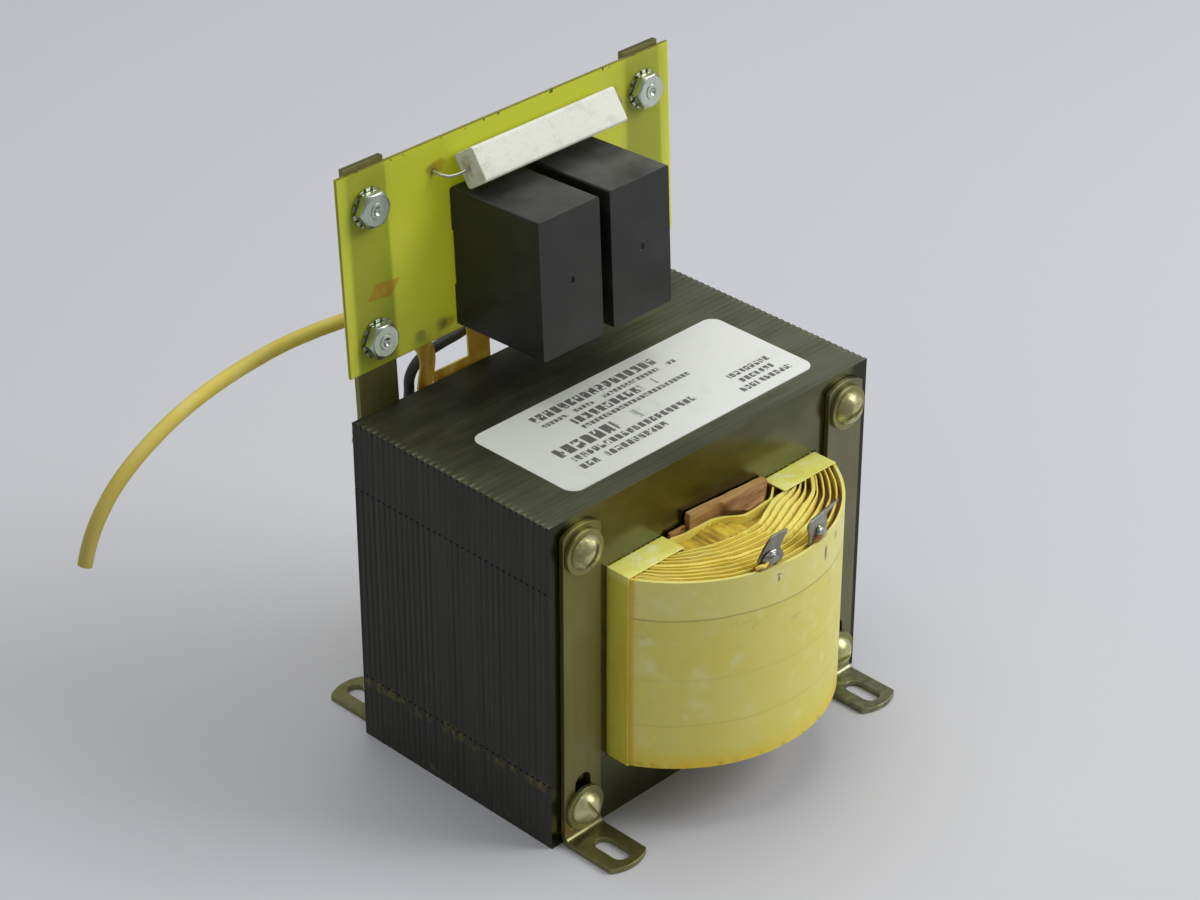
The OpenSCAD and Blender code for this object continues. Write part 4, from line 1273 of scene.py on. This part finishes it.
def to_object(name: str, bm: bmesh.types.BMesh, smooth_angle: float = SHARP_ANGLE) -> bpy.types.Object:
    """Turn a bmesh into a linked object at the origin.

    Args:
        name: The object's name.
        bm: The mesh, which is freed.
        smooth_angle: Edges sharper than this angle in degrees stay sharp.

    Returns:
        The new object.
    """
    bmesh.ops.dissolve_degenerate(bm, dist=MERGE, edges=bm.edges)
    mesh = bpy.data.meshes.new(name)
    bm.to_mesh(mesh)
    bm.free()
    mesh.shade_smooth()
    mesh.set_sharp_from_angle(angle=math.radians(smooth_angle))
    made = bpy.data.objects.new(name, mesh)
    bpy.context.scene.collection.objects.link(made)
    return made


def tube(name: str, route: Sequence[Vector], diameter: float) -> bpy.types.Object:
    """Draw a round tube along a route as a curve of one open spline.

    Args:
        name: The object's name.
        route: Points that the curve passes through.
        diameter: The tube's diameter.

    Returns:
        The curve's object, linked at the origin.
    """
    curve = bpy.data.curves.new(name, "CURVE")
    curve.dimensions = "3D"
    curve.bevel_depth = diameter / 2
    curve.bevel_resolution = TUBE_STEPS
    curve.resolution_u = TUBE_STEPS
    curve.use_fill_caps = True
    spline = curve.splines.new("BEZIER")
    spline.bezier_points.add(len(route) - 1)
    for point, place in zip(spline.bezier_points, route):
        point.co = place
        point.handle_left_type = "AUTO"
        point.handle_right_type = "AUTO"
    made = bpy.data.objects.new(name, curve)
    bpy.context.scene.collection.objects.link(made)
    return made


def cut_along(bm: bmesh.types.BMesh, axis: int, places: Sequence[float]) -> None:
    """Cut a mesh across an axis at several places, and keep both sides of each cut.

    Args:
        bm: The mesh.
        axis: 0, 1 or 2 for X, Y or Z.
        places: Where the cuts go along that axis.
    """
    normal = Vector([1.0 if i == axis else 0.0 for i in range(3)])
    for place in places:
        everything = bm.verts[:] + bm.edges[:] + bm.faces[:]
        bmesh.ops.bisect_plane(bm, geom=everything, plane_co=normal * place, plane_no=normal)


def bevel(bm: bmesh.types.BMesh, edges: Sequence[bmesh.types.BMEdge], radius: float, faces: int) -> None:
    """Round edges of a mesh.

    Args:
        bm: The mesh.
        edges: The edges.
        radius: Their radius.
        faces: Faces across each edge.
    """
    bmesh.ops.bevel(bm, geom=edges, offset=radius, offset_type="OFFSET", affect="EDGES", segments=faces,
                    profile=0.5, material=-1, clamp_overlap=True)


def steps(low: float, high: float, pitch: float) -> list[float]:
    """Return even places from low up to high."""
    return [low + pitch * i for i in range(int((high - low) / pitch) + 1)]


def share_of(value: float, whole: float) -> float:
    """Return a value as a share of a whole, from 0 to 1."""
    return min(max(value / whole, 0.0), 1.0)


@dataclass
class Assembly:
    """A sub-assembly of the part, whose solids are dressed together."""

    nodes: dict[str, bpy.types.Object]
    finishes: Finishes
    done: list[str] = field(default_factory=list)

    def build(self) -> None:
        """Build and dress the sub-assembly's pieces."""
        raise NotImplementedError

    def paint(self, finish: Finish, *names: str) -> None:
        """Give solids a finish as they are.

        Args:
            finish: The finish.
            *names: The solids' nodes.
        """
        for name in names:
            materials = self.nodes[name].data.materials
            materials.clear()
            materials.append(finish.material())
            self.done.append(name)
            LOG.info("%s painted with %s", name, finish.name)

    def adopt(self, piece: bpy.types.Object, finish: Finish, slot: Slot, *names: str) -> None:
        """Make a new piece part of the object.

        Args:
            piece: The piece.
            finish: Its finish.
            slot: Not used.
            *names: Nodes that it stands for, if any.
        """
        piece.data.materials.clear()
        piece.data.materials.append(finish.material())
        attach(piece, BODY)
        if names:
            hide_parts(*names)
        self.done += names
        LOG.info("%s made, in %s", piece.name, finish.name)

    def merged(self, name: str) -> bmesh.types.BMesh:
        """Return a copy of a solid's mesh with its doubles merged and its flat faces joined.

        Args:
            name: The solid's node.

        Returns:
            The copy.
        """
        bm = bmesh.new()
        bm.from_mesh(self.nodes[name].data)
        bmesh.ops.remove_doubles(bm, verts=bm.verts, dist=MERGE)
        flat = math.radians(FLAT_ANGLE)
        bmesh.ops.dissolve_limit(bm, angle_limit=flat, verts=bm.verts, edges=bm.edges)
        return bm

    def soften(self, bm: bmesh.types.BMesh, radius: float, faces: int = 2) -> None:
        """Round a mesh's sharp edges.

        Args:
            bm: The mesh.
            radius: The edges' radius.
            faces: Faces across each edge.
        """
        limit = math.radians(SHARP_ANGLE)
        sharp = [edge for edge in bm.edges if edge.is_manifold and edge.calc_face_angle(0.0) > limit]
        bevel(bm, sharp, radius, faces)

    def rounded(self, name: str, bm: bmesh.types.BMesh, radius: float) -> bpy.types.Object:
        """Make a piece of a solid's copy with its sharp edges rounded.

        Args:
            name: The solid's node.
            bm: The copy, which is freed.
            radius: Radius of the edges.

        Returns:
            The piece.
        """
        self.soften(bm, radius)
        piece = to_object(f"{name}_rounded", bm)
        even = piece.modifiers.new("even", "WEIGHTED_NORMAL")
        even.keep_sharp = True
        return piece

    def round(self, finish: Finish, slot: Slot, radius: float, *names: str) -> None:
        """Replace solids with copies whose sharp edges are rounded.

        Args:
            finish: The finish.
            slot: The record's slot.
            radius: Radius of the edges.
            *names: The solids' nodes.
        """
        for name in names:
            self.adopt(self.rounded(name, self.merged(name), radius), finish, slot, name)


@dataclass
class Core(Assembly):
    """The interleaved laminations, pressed flush at the sides and toothed along the top."""

    shift: float = 0.15 * MM
    pressed: float = 0.02 * MM
    tooth: float = 1.2 * MM

    def build(self) -> None:
        """Replace the E and I laminations with pressed copies."""
        for name in ("e_laminations", "i_laminations"):
            self.adopt(self._pressed(name), self.finishes.core, Slot.CORE_STEEL, name)

    def _pressed(self, name: str) -> bpy.types.Object:
        """Copy laminations and press the sides of their groups nearly flush below the top.

        Args:
            name: The laminations' node.

        Returns:
            The pressed copy.
        """
        bm = self.merged(name)
        widest, _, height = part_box(name)[1]
        half_width = widest - self.shift
        cut_along(bm, 2, (height - self.tooth,))
        for vert in bm.verts:
            out = abs(vert.co.x) - half_width
            below = vert.co.z < height - self.tooth / 2
            if below and abs(abs(out) - self.shift) < self.pressed:
                vert.co.x = math.copysign(half_width + math.copysign(self.pressed, out), vert.co.x)
        return to_object(f"{name}_pressed", bm)


@dataclass
class Coil(Assembly):
    """The layer-wound coil: wire, papers with bent edges, crinkled filler, wrap and corner tapes.

    Above the wire the papers sway and dip in waves, and lean back between lean_from and lean_to. The strips
    are the margins between the papers, which rise to the left of strip_end. The filler is highest at its
    heap.
    """

    top: float = field(init=False)
    wire_top: float = field(init=False)
    filler_half: float = field(init=False)
    filler_top: float = field(init=False)
    paper_cut: float = 1.5 * MM
    paper_still: float = 0.05
    paper_seed: float = 3.1
    seed_slant: float = 1.7
    sway: float = 0.5 * MM
    dip: float = 0.6 * MM
    dip_waves: float = 1.6
    dip_offset: Triple = (7.0, 3.0, 0.0)
    wave: float = 8.0 * MM
    lean: float = 3.3 * MM
    lean_from: float = -2.0 * MM
    lean_full: float = 13.0 * MM
    lean_to: float = 26.0 * MM
    bow: float = BOW
    first_layer: float = 45.7 * MM
    last_layer: float = 62.3 * MM
    front: float = -36.0 * MM
    strip_half: float = 36.0 * MM
    strip_end: float = 10.0 * MM
    strip_cut: float = 1.2 * MM
    strip_still: float = 0.2
    strip_lift: float = 0.3 * MM
    strip_rough: float = 0.16 * MM
    strip_grain: float = 3.0 * MM
    soft_angle: float = 60.0
    filler_skin: float = 0.1 * MM
    crinkle: float = 0.42 * MM
    crinkle_least: float = 0.4
    crinkle_pitch: float = 1.9 * MM
    crinkle_cuts: int = 4
    crinkle_wander: float = 0.7
    crinkle_wave: float = 4.0 * MM
    heap: float = 1.1 * MM
    heap_at: float = -4.5 * MM
    heap_half: float = 7.0 * MM
    filler_fall: float = 0.04
    tape_edge: float = 0.15 * MM
    tape_seat: float = 0.17 * MM
    crease: float = 42.525 * MM
    crease_radius: float = 1.5 * MM
    crease_faces: int = 5

    def __post_init__(self) -> None:
        """Read the heights of the coil's solids, and the filler's half width."""
        self.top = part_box("outer_wrap")[1][2]
        self.wire_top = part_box("inner_winding")[1][2]
        self.filler_half, _, self.filler_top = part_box("crinkled_filler")[1]

    def build(self) -> None:
        """Dress the wire and the tapes, and bend the papers."""
        look = self.finishes
        for turn, name in enumerate(("coil_former", "winding_barrier", "layer_papers")):
            self.adopt(self._bent(name, self.paper_seed * turn), look.paper, Slot.PAPER, name)
        self.adopt(self._crinkled("crinkled_filler"), look.crepe, Slot.PAPER, "crinkled_filler")
        self.adopt(self._packed("margin_strips"), look.packed, Slot.PAPER, "margin_strips")
        self.paint(look.inner_wire, "inner_winding")
        self.paint(look.outer_wire, "outer_winding")
        self.adopt(self._folded("outer_wrap"), look.wrap, Slot.WRAP, "outer_wrap")
        for name in ("left_corner_tape", "right_corner_tape"):
            self.adopt(self._seated(name), look.tape, Slot.WRAP, name)

    def _lift(self, place: Vector) -> float:
        """Return a place's height above the wire, as a share of the papers' free height."""
        return (place.z - self.wire_top) / (self.top - self.wire_top)

    def _bent(self, name: str, seed: float) -> bpy.types.Object:
        """Copy papers and bend the edge that stands above the wire.

        Args:
            name: The papers' node.
            seed: Offset into the waves.

        Returns:
            The bent copy.
        """
        bm = bmesh.new()
        bm.from_mesh(self.nodes[name].data)
        bmesh.ops.remove_doubles(bm, verts=bm.verts, dist=MERGE)
        cut_along(bm, 2, (self.wire_top, (self.wire_top + self.top) / 2))
        cut_along(bm, 0, steps(self.lean_from, self.lean_to, self.paper_cut))
        offset = Vector((seed, seed * self.seed_slant, 0))
        for vert in bm.verts:
            lift = self._lift(vert.co)
            if lift > self.paper_still:
                flat = Vector((vert.co.x, vert.co.y, 0)) / self.wave + offset
                dipped = noise.noise(flat * self.dip_waves + Vector(self.dip_offset))
                vert.co.y += self.sway * lift * noise.noise(flat) + self._leaning(vert.co) * lift
                vert.co.z -= self.dip * lift * abs(dipped)
        return to_object(f"{name}_edges", bm)

    def _leaning(self, place: Vector) -> float:
        """Work out how far a paper's top leans back: inner papers most, and only right of the middle.

        Args:
            place: A place on the paper.

        Returns:
            The distance along Y.
        """
        if place.y > self.front or not self.lean_from < place.x < self.lean_to:
            return 0.0
        across = abs(place.y) + self.bow - math.sqrt(self.bow ** 2 - place.x ** 2)
        share = (self.last_layer - across) / (self.last_layer - self.first_layer)
        if share > 1.0:
            return 0.0
        rise = (place.x - self.lean_from) / (self.lean_full - self.lean_from)
        fall = (self.lean_to - place.x) / (self.lean_to - self.lean_full)
        amount = min(rise, fall, 1.0)
        return self.lean * max(share, 0.0) * amount * amount * (3 - 2 * amount)

    def _packed(self, name: str) -> bpy.types.Object:
        """Copy the strips between the papers, and roughen and raise their tops on the left.

        Args:
            name: The strips' node.

        Returns:
            The roughened copy.
        """
        bm = self.merged(name)
        cut_along(bm, 0, steps(-self.strip_half, self.strip_end, self.strip_cut))
        for vert in bm.verts:
            lift = self._lift(vert.co)
            if lift > self.strip_still:
                left = share_of(self.strip_end - vert.co.x, 2 * self.strip_end)
                rough = noise.noise(vert.co / self.strip_grain)
                vert.co.z += self.strip_lift * left + self.strip_rough * rough
                vert.co.y += self._leaning(vert.co) * lift
        return to_object(f"{name}_packed", bm, self.soft_angle)

    def _seated(self, name: str) -> bpy.types.Object:
        """Copy a corner tape, with its back edge pushed up to the core and its edges rounded.

        Args:
            name: The tape's node.

        Returns:
            The copy.
        """
        bm = self.merged(name)
        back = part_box(name)[1][1]
        for vert in bm.verts:
            if vert.co.y > back - self.tape_edge:
                vert.co.y += self.tape_seat
        return self.rounded(name, bm, self.tape_edge)

    def _folded(self, name: str) -> bpy.types.Object:
        """Copy the wrap and round its folds beside the flat sides.

        Args:
            name: The wrap's node.

        Returns:
            The rounded copy.
        """
        bm = self.merged(name)
        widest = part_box(name)[1][0]
        folds = []
        for edge in bm.edges:
            a, b = (vert.co for vert in edge.verts)
            level = abs(a.z - b.z) < self.tape_edge
            at_fold = abs(a.y + self.crease) < self.tape_edge and abs(a.x) > widest - self.tape_edge
            if at_fold and not level:
                folds.append(edge)
        bevel(bm, folds, self.crease_radius, self.crease_faces)
        return to_object(f"{name}_folded", bm)

    def _crinkled(self, name: str) -> bpy.types.Object:
        """Copy the filler and fold its top into ridges that fall to the right.

        Args:
            name: The filler's node.

        Returns:
            The folded copy.
        """
        bm = self.merged(name)
        cut_along(bm, 0, steps(-self.filler_half, self.filler_half, self.crinkle_pitch / self.crinkle_cuts))
        for vert in bm.verts:
            if vert.co.z > self.filler_top - self.filler_skin:
                wander = self.crinkle_wander * self.crinkle_pitch * noise.noise(vert.co / self.crinkle_wave)
                turn = 2 * math.pi * (vert.co.x + wander) / self.crinkle_pitch
                near = max(0.0, 1 - ((vert.co.x - self.heap_at) / self.heap_half) ** 2)
                fold = self.crinkle * (self.crinkle_least + near) * math.sin(turn)
                vert.co.z += fold + self.heap * near - self.filler_fall * vert.co.x
        return to_object(f"{name}_ridges", bm, self.soft_angle)


@dataclass
class Wedges(Assembly):
    """The broken wooden wedge and the shim that hold the coil on its leg.

    The split deepens from split_right to split_left, in front of split_ridge and above split_low.
    """

    edge: float = 0.35 * MM
    rough: float = 0.3 * MM
    grain: float = 5.0 * MM
    grain_along: float = 0.3
    fibres: float = 3.0
    splinters: float = 9.0
    splinter_share: float = 0.4
    worn_down: float = 0.5
    pitch: float = 1.2 * MM
    shown_from: float = 68.0 * MM
    split_left: float = -1.0 * MM
    split_right: float = 13.5 * MM
    split_low: float = 74.6 * MM
    split_ridge: float = -37.3 * MM
    split_soft: float = 1.4 * MM
    split_share: float = 0.8
    soft_angle: float = 50.0

    def build(self) -> None:
        """Replace both with roughened copies."""
        for name in ("wood_wedge", "wood_shim"):
            self.adopt(self._roughened(name), self.finishes.wood, Slot.WOOD, name)

    def _split(self, place: Vector) -> float:
        """Work out how far the wood has split away: most to the left, and only at the front.

        Args:
            place: A place on the wood.

        Returns:
            The distance down.
        """
        front = share_of(self.split_ridge - place.y, self.split_soft)
        left = share_of(self.split_right - place.x, self.split_right - self.split_left)
        return max(place.z - self.split_low, 0.0) * self.split_share * front * left

    def _roughened(self, name: str) -> bpy.types.Object:
        """Copy a stick, round its edges and roughen the end that shows along the grain.

        Args:
            name: The stick's node.

        Returns:
            The roughened copy.
        """
        bm = self.merged(name)
        self.soften(bm, self.edge)
        low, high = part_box(name)
        cut_along(bm, 2, steps(self.shown_from, high[2], self.pitch))
        cut_along(bm, 0, steps(low[0], high[0], self.pitch))
        cut_along(bm, 1, steps(low[1], high[1], self.pitch))
        for vert in bm.verts:
            vert.co.z -= self._split(vert.co)
        bm.normal_update()
        for vert in bm.verts:
            if vert.co.z > self.shown_from:
                place = Vector((vert.co.x * self.grain_along, vert.co.y, vert.co.z)) / self.grain
                splinter = noise.noise(place * self.splinters) * self.splinter_share
                raised = noise.noise(place * self.fibres) + splinter - self.worn_down
                vert.co += vert.normal * self.rough * raised
        return to_object(f"{name}_rough", bm, self.soft_angle)


@dataclass(frozen=True)
class Lump:
    """A lump of solder on a tongue, placed along the tongue, out behind it and up, in millimetres."""

    name: str
    turn: float
    at: Triple
    half_size: Triple
    seed: float


@dataclass(frozen=True)
class WireEnd:
    """The end of a wire beside a tongue, with its points given as a lump's place is."""

    name: str
    turn: float
    width: float
    slot: Slot
    points: tuple[Triple, ...]


@dataclass
class Terminals(Assembly):
    """The two tinned tongues on the coil's front, with their solder and wire ends."""

    edge: float = 0.15 * MM
    bow_centre: float = -21.17 * MM
    bow_radius: float = 41.83 * MM
    left_turn: float = -13.0
    right_turn: float = 9.0
    lumps: tuple[Lump, ...] = (
        Lump("left_solder", left_turn, (0.5, -0.7, 77.7), (2.5, 0.95, 2.1), 1.0),
        Lump("right_solder", right_turn, (2.3, -0.6, 77.2), (2.2, 0.9, 1.9), 5.0),
    )
    lump_detail: int = 4
    lump_waves: float = 1.3
    lump_swell: float = 0.35
    lump_angle: float = 80.0
    wire_ends: tuple[WireEnd, ...] = (
        WireEnd("left_wire_end", left_turn, 1.9, Slot.AMBER,
                ((-3.4, 0.9, 73.8), (-3.2, 0.2, 75.2), (-2.2, -0.9, 76.2), (-0.6, -0.9, 76.8))),
        WireEnd("left_bare_wire", left_turn, 1.0, Slot.YELLOW_SLEEVE,
                ((-4.1, -0.9, 76.3), (-3.1, -1.4, 76.9), (-2.0, -1.5, 76.7), (-0.9, -1.1, 77.4))),
        WireEnd("right_wire_end", right_turn, 1.7, Slot.AMBER,
                ((-0.8, 0.8, 73.8), (-0.4, 0.1, 75.2), (0.6, -0.8, 76.3), (2.0, -0.8, 77.0))),
    )

    def build(self) -> None:
        """Round the tongues, and add solder and the ends of the wires that they hold."""
        look = self.finishes
        self.round(look.tin, Slot.TIN, self.edge, "left_terminal", "right_terminal")
        for lump in self.lumps:
            self.adopt(self._solder(lump), look.solder, Slot.TIN)
        wire_looks = {Slot.AMBER: look.scorched, Slot.YELLOW_SLEEVE: look.yellow}
        for end in self.wire_ends:
            route = [self._on_tongue(end.turn, Vector(point) * MM) for point in end.points]
            self.adopt(tube(end.name, route, end.width * MM), wire_looks[end.slot], end.slot)

    def _on_tongue(self, turn: float, place: Vector) -> Vector:
        """Return a place given along a tongue, out behind it and up, in the part's frame."""
        spun = Matrix.Rotation(math.radians(turn), 4, "Z") @ (place + Vector((0, -self.bow_radius, 0)))
        return spun + Vector((0, self.bow_centre, 0))

    def _solder(self, lump: Lump) -> bpy.types.Object:
        """Make a lump of solder against a tongue.

        Args:
            lump: The lump's place and size.

        Returns:
            The lump.
        """
        bm = bmesh.new()
        bmesh.ops.create_icosphere(bm, subdivisions=self.lump_detail, radius=1.0)
        offset = Vector((lump.seed, 0, lump.seed))
        for vert in bm.verts:
            vert.co *= 1 + self.lump_swell * noise.noise(vert.co * self.lump_waves + offset)
        bmesh.ops.scale(bm, vec=Vector(lump.half_size) * MM, verts=bm.verts)
        turned = Matrix.Rotation(math.radians(lump.turn), 3, "Z")
        bmesh.ops.rotate(bm, cent=(0, 0, 0), matrix=turned, verts=bm.verts)
        middle = self._on_tongue(lump.turn, Vector(lump.at) * MM)
        bmesh.ops.translate(bm, vec=middle, verts=bm.verts)
        return to_object(lump.name, bm, self.lump_angle)


@dataclass
class Frame(Assembly):
    """The four straps with their feet, and the bolts, washers and nuts that clamp the core."""

    strap_edge: float = 0.25 * MM
    bolt_edge: float = 0.15 * MM
    nut_edge: float = 0.12 * MM

    def build(self) -> None:
        """Round and plate everything that clamps the core."""
        look = self.finishes
        self.round(look.strap, Slot.YELLOW_ZINC, self.strap_edge, "front_left_strap", "rear_left_strap",
                   "rear_right_strap")
        self.round(look.worn_strap, Slot.YELLOW_ZINC, self.strap_edge, "front_right_strap")
        self.round(look.bolt, Slot.YELLOW_ZINC, self.bolt_edge, "core_bolts")
        self.round(look.washer, Slot.YELLOW_ZINC, self.bolt_edge, "bolt_washers")
        self.round(look.zinc, Slot.BRIGHT_ZINC, self.nut_edge, "lock_washers", "core_nuts")


@dataclass
class Board(Assembly):
    """The circuit board with its screws, capacitors, resistor and solder."""

    screw_edge: float = 0.12 * MM
    board_edge: float = 0.1 * MM
    case_edge: float = 0.5 * MM
    cement_edge: float = 0.3 * MM
    solder_edge: float = 0.45 * MM

    def build(self) -> None:
        """Round and dress the board and what it carries."""
        look = self.finishes
        self.round(look.board, Slot.BOARD, self.board_edge, "circuit_board")
        self.round(look.zinc, Slot.BRIGHT_ZINC, self.screw_edge, "board_screws", "board_nuts")
        self.paint(look.zinc, "toothed_washers")
        self.round(look.case, Slot.BLACK_CASE, self.case_edge, "left_capacitor", "right_capacitor")
        self.round(look.cement, Slot.CEMENT, self.cement_edge, "resistor")
        self.round(look.solder, Slot.TIN, self.solder_edge, "solder_joints")
        self.paint(look.bright_tin, "capacitor_pins", "resistor_wires")


@dataclass
class Label(Assembly):
    """The film label on the core's top."""

    def build(self) -> None:
        """Paint the label."""
        self.paint(self.finishes.label, "label")


@dataclass
class Leads(Assembly):
    """The free yellow lead, the short black lead and the amber strips behind the board."""

    yellow_diameter: float = 3.8 * MM
    yellow_joint: Triple = (-26.0, 36.998, 110.674)
    yellow_path: tuple[Triple, ...] = (
        (0, 0, 0), (-0.3, 3.1, 0), (-1.2, 6.1, 0.1), (-2.7, 8.9, 0.2), (-4.7, 11.3, 0.3), (-7.1, 13.3, 0.4),
        (-9.9, 14.8, 0.5), (-13.4, 15.8, 0.6), (-20, 16.7, 0.7), (-27, 17.6, 0.6), (-35, 18.6, 0),
        (-44, 19.4, -1.3), (-53, 20, -3.1), (-61.5, 20.3, -5.3), (-69, 20.4, -7.9), (-76, 20.4, -11.1),
        (-82.3, 20.4, -14.7), (-87.6, 20.4, -18.7), (-92, 20.4, -23.3), (-95.5, 20.4, -28.3),
        (-97.6, 20.4, -32.7), (-99, 20.4, -36.7),
    )
    black_diameter: float = 2.8 * MM
    black_edge: Triple = (0.0, 34.925, 95.25)
    black_path: tuple[Triple, ...] = (
        (-33, 6.6, -19.75), (-33, 6.6, -11.2), (-32.6, 6.1, -4.2), (-32, 6.1, 0.8), (-28, 6.1, 4.4),
        (-22, 6.1, 5.6), (-14, 6.1, 6.4), (-6, 6.5, 8.2), (0, 7.5, 11.8), (4, 6.64, 16.73), (4, 4.14, 16.84),
        (4, 2.14, 16.92),
    )

    def build(self) -> None:
        """Lay the yellow lead, which is free, then the black lead and the strips."""
        self._lay_yellow()
        black = tube("black_lead_round", self._route(self.black_edge, self.black_path), self.black_diameter)
        self.adopt(black, self.finishes.black, Slot.BLACK_SLEEVE, "black_lead")
        self.paint(self.finishes.amber, "left_amber_strip")
        self.paint(self.finishes.gold, "folded_amber_strip")

    def _lay_yellow(self) -> None:
        """Lay the stiff free lead from its joint on the board's back to its cut end."""
        route = self._route(self.yellow_joint, self.yellow_path)
        lead = tube("yellow_lead_cord", route, self.yellow_diameter)
        self.adopt(lead, self.finishes.yellow, Slot.YELLOW_SLEEVE, "yellow_lead")

    @staticmethod
    def _route(start: Triple, path: Sequence[Triple]) -> list[Vector]:
        """Return a path's points in metres, measured from where it starts."""
        return [(Vector(start) + Vector(point)) * MM for point in path]


def main() -> None:
    """Load the frame, stage it, and build and dress each sub-assembly."""
    logging.basicConfig(level=logging.INFO, format="%(name)s: %(message)s")
    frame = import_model()
    bpy.context.scene.view_settings.view_transform = "Standard"
    Stage().build()
    finishes = Finishes()
    bare = set(frame["nodes"])
    for kind in (Leads, Core, Coil, Wedges, Terminals, Frame, Board, Label):
        assembly = kind(frame["nodes"], finishes)
        assembly.build()
        bare -= set(assembly.done)
    LOG.info("solids left bare: %s", sorted(bare) or "none")


if __name__ == "__main__":
    main()
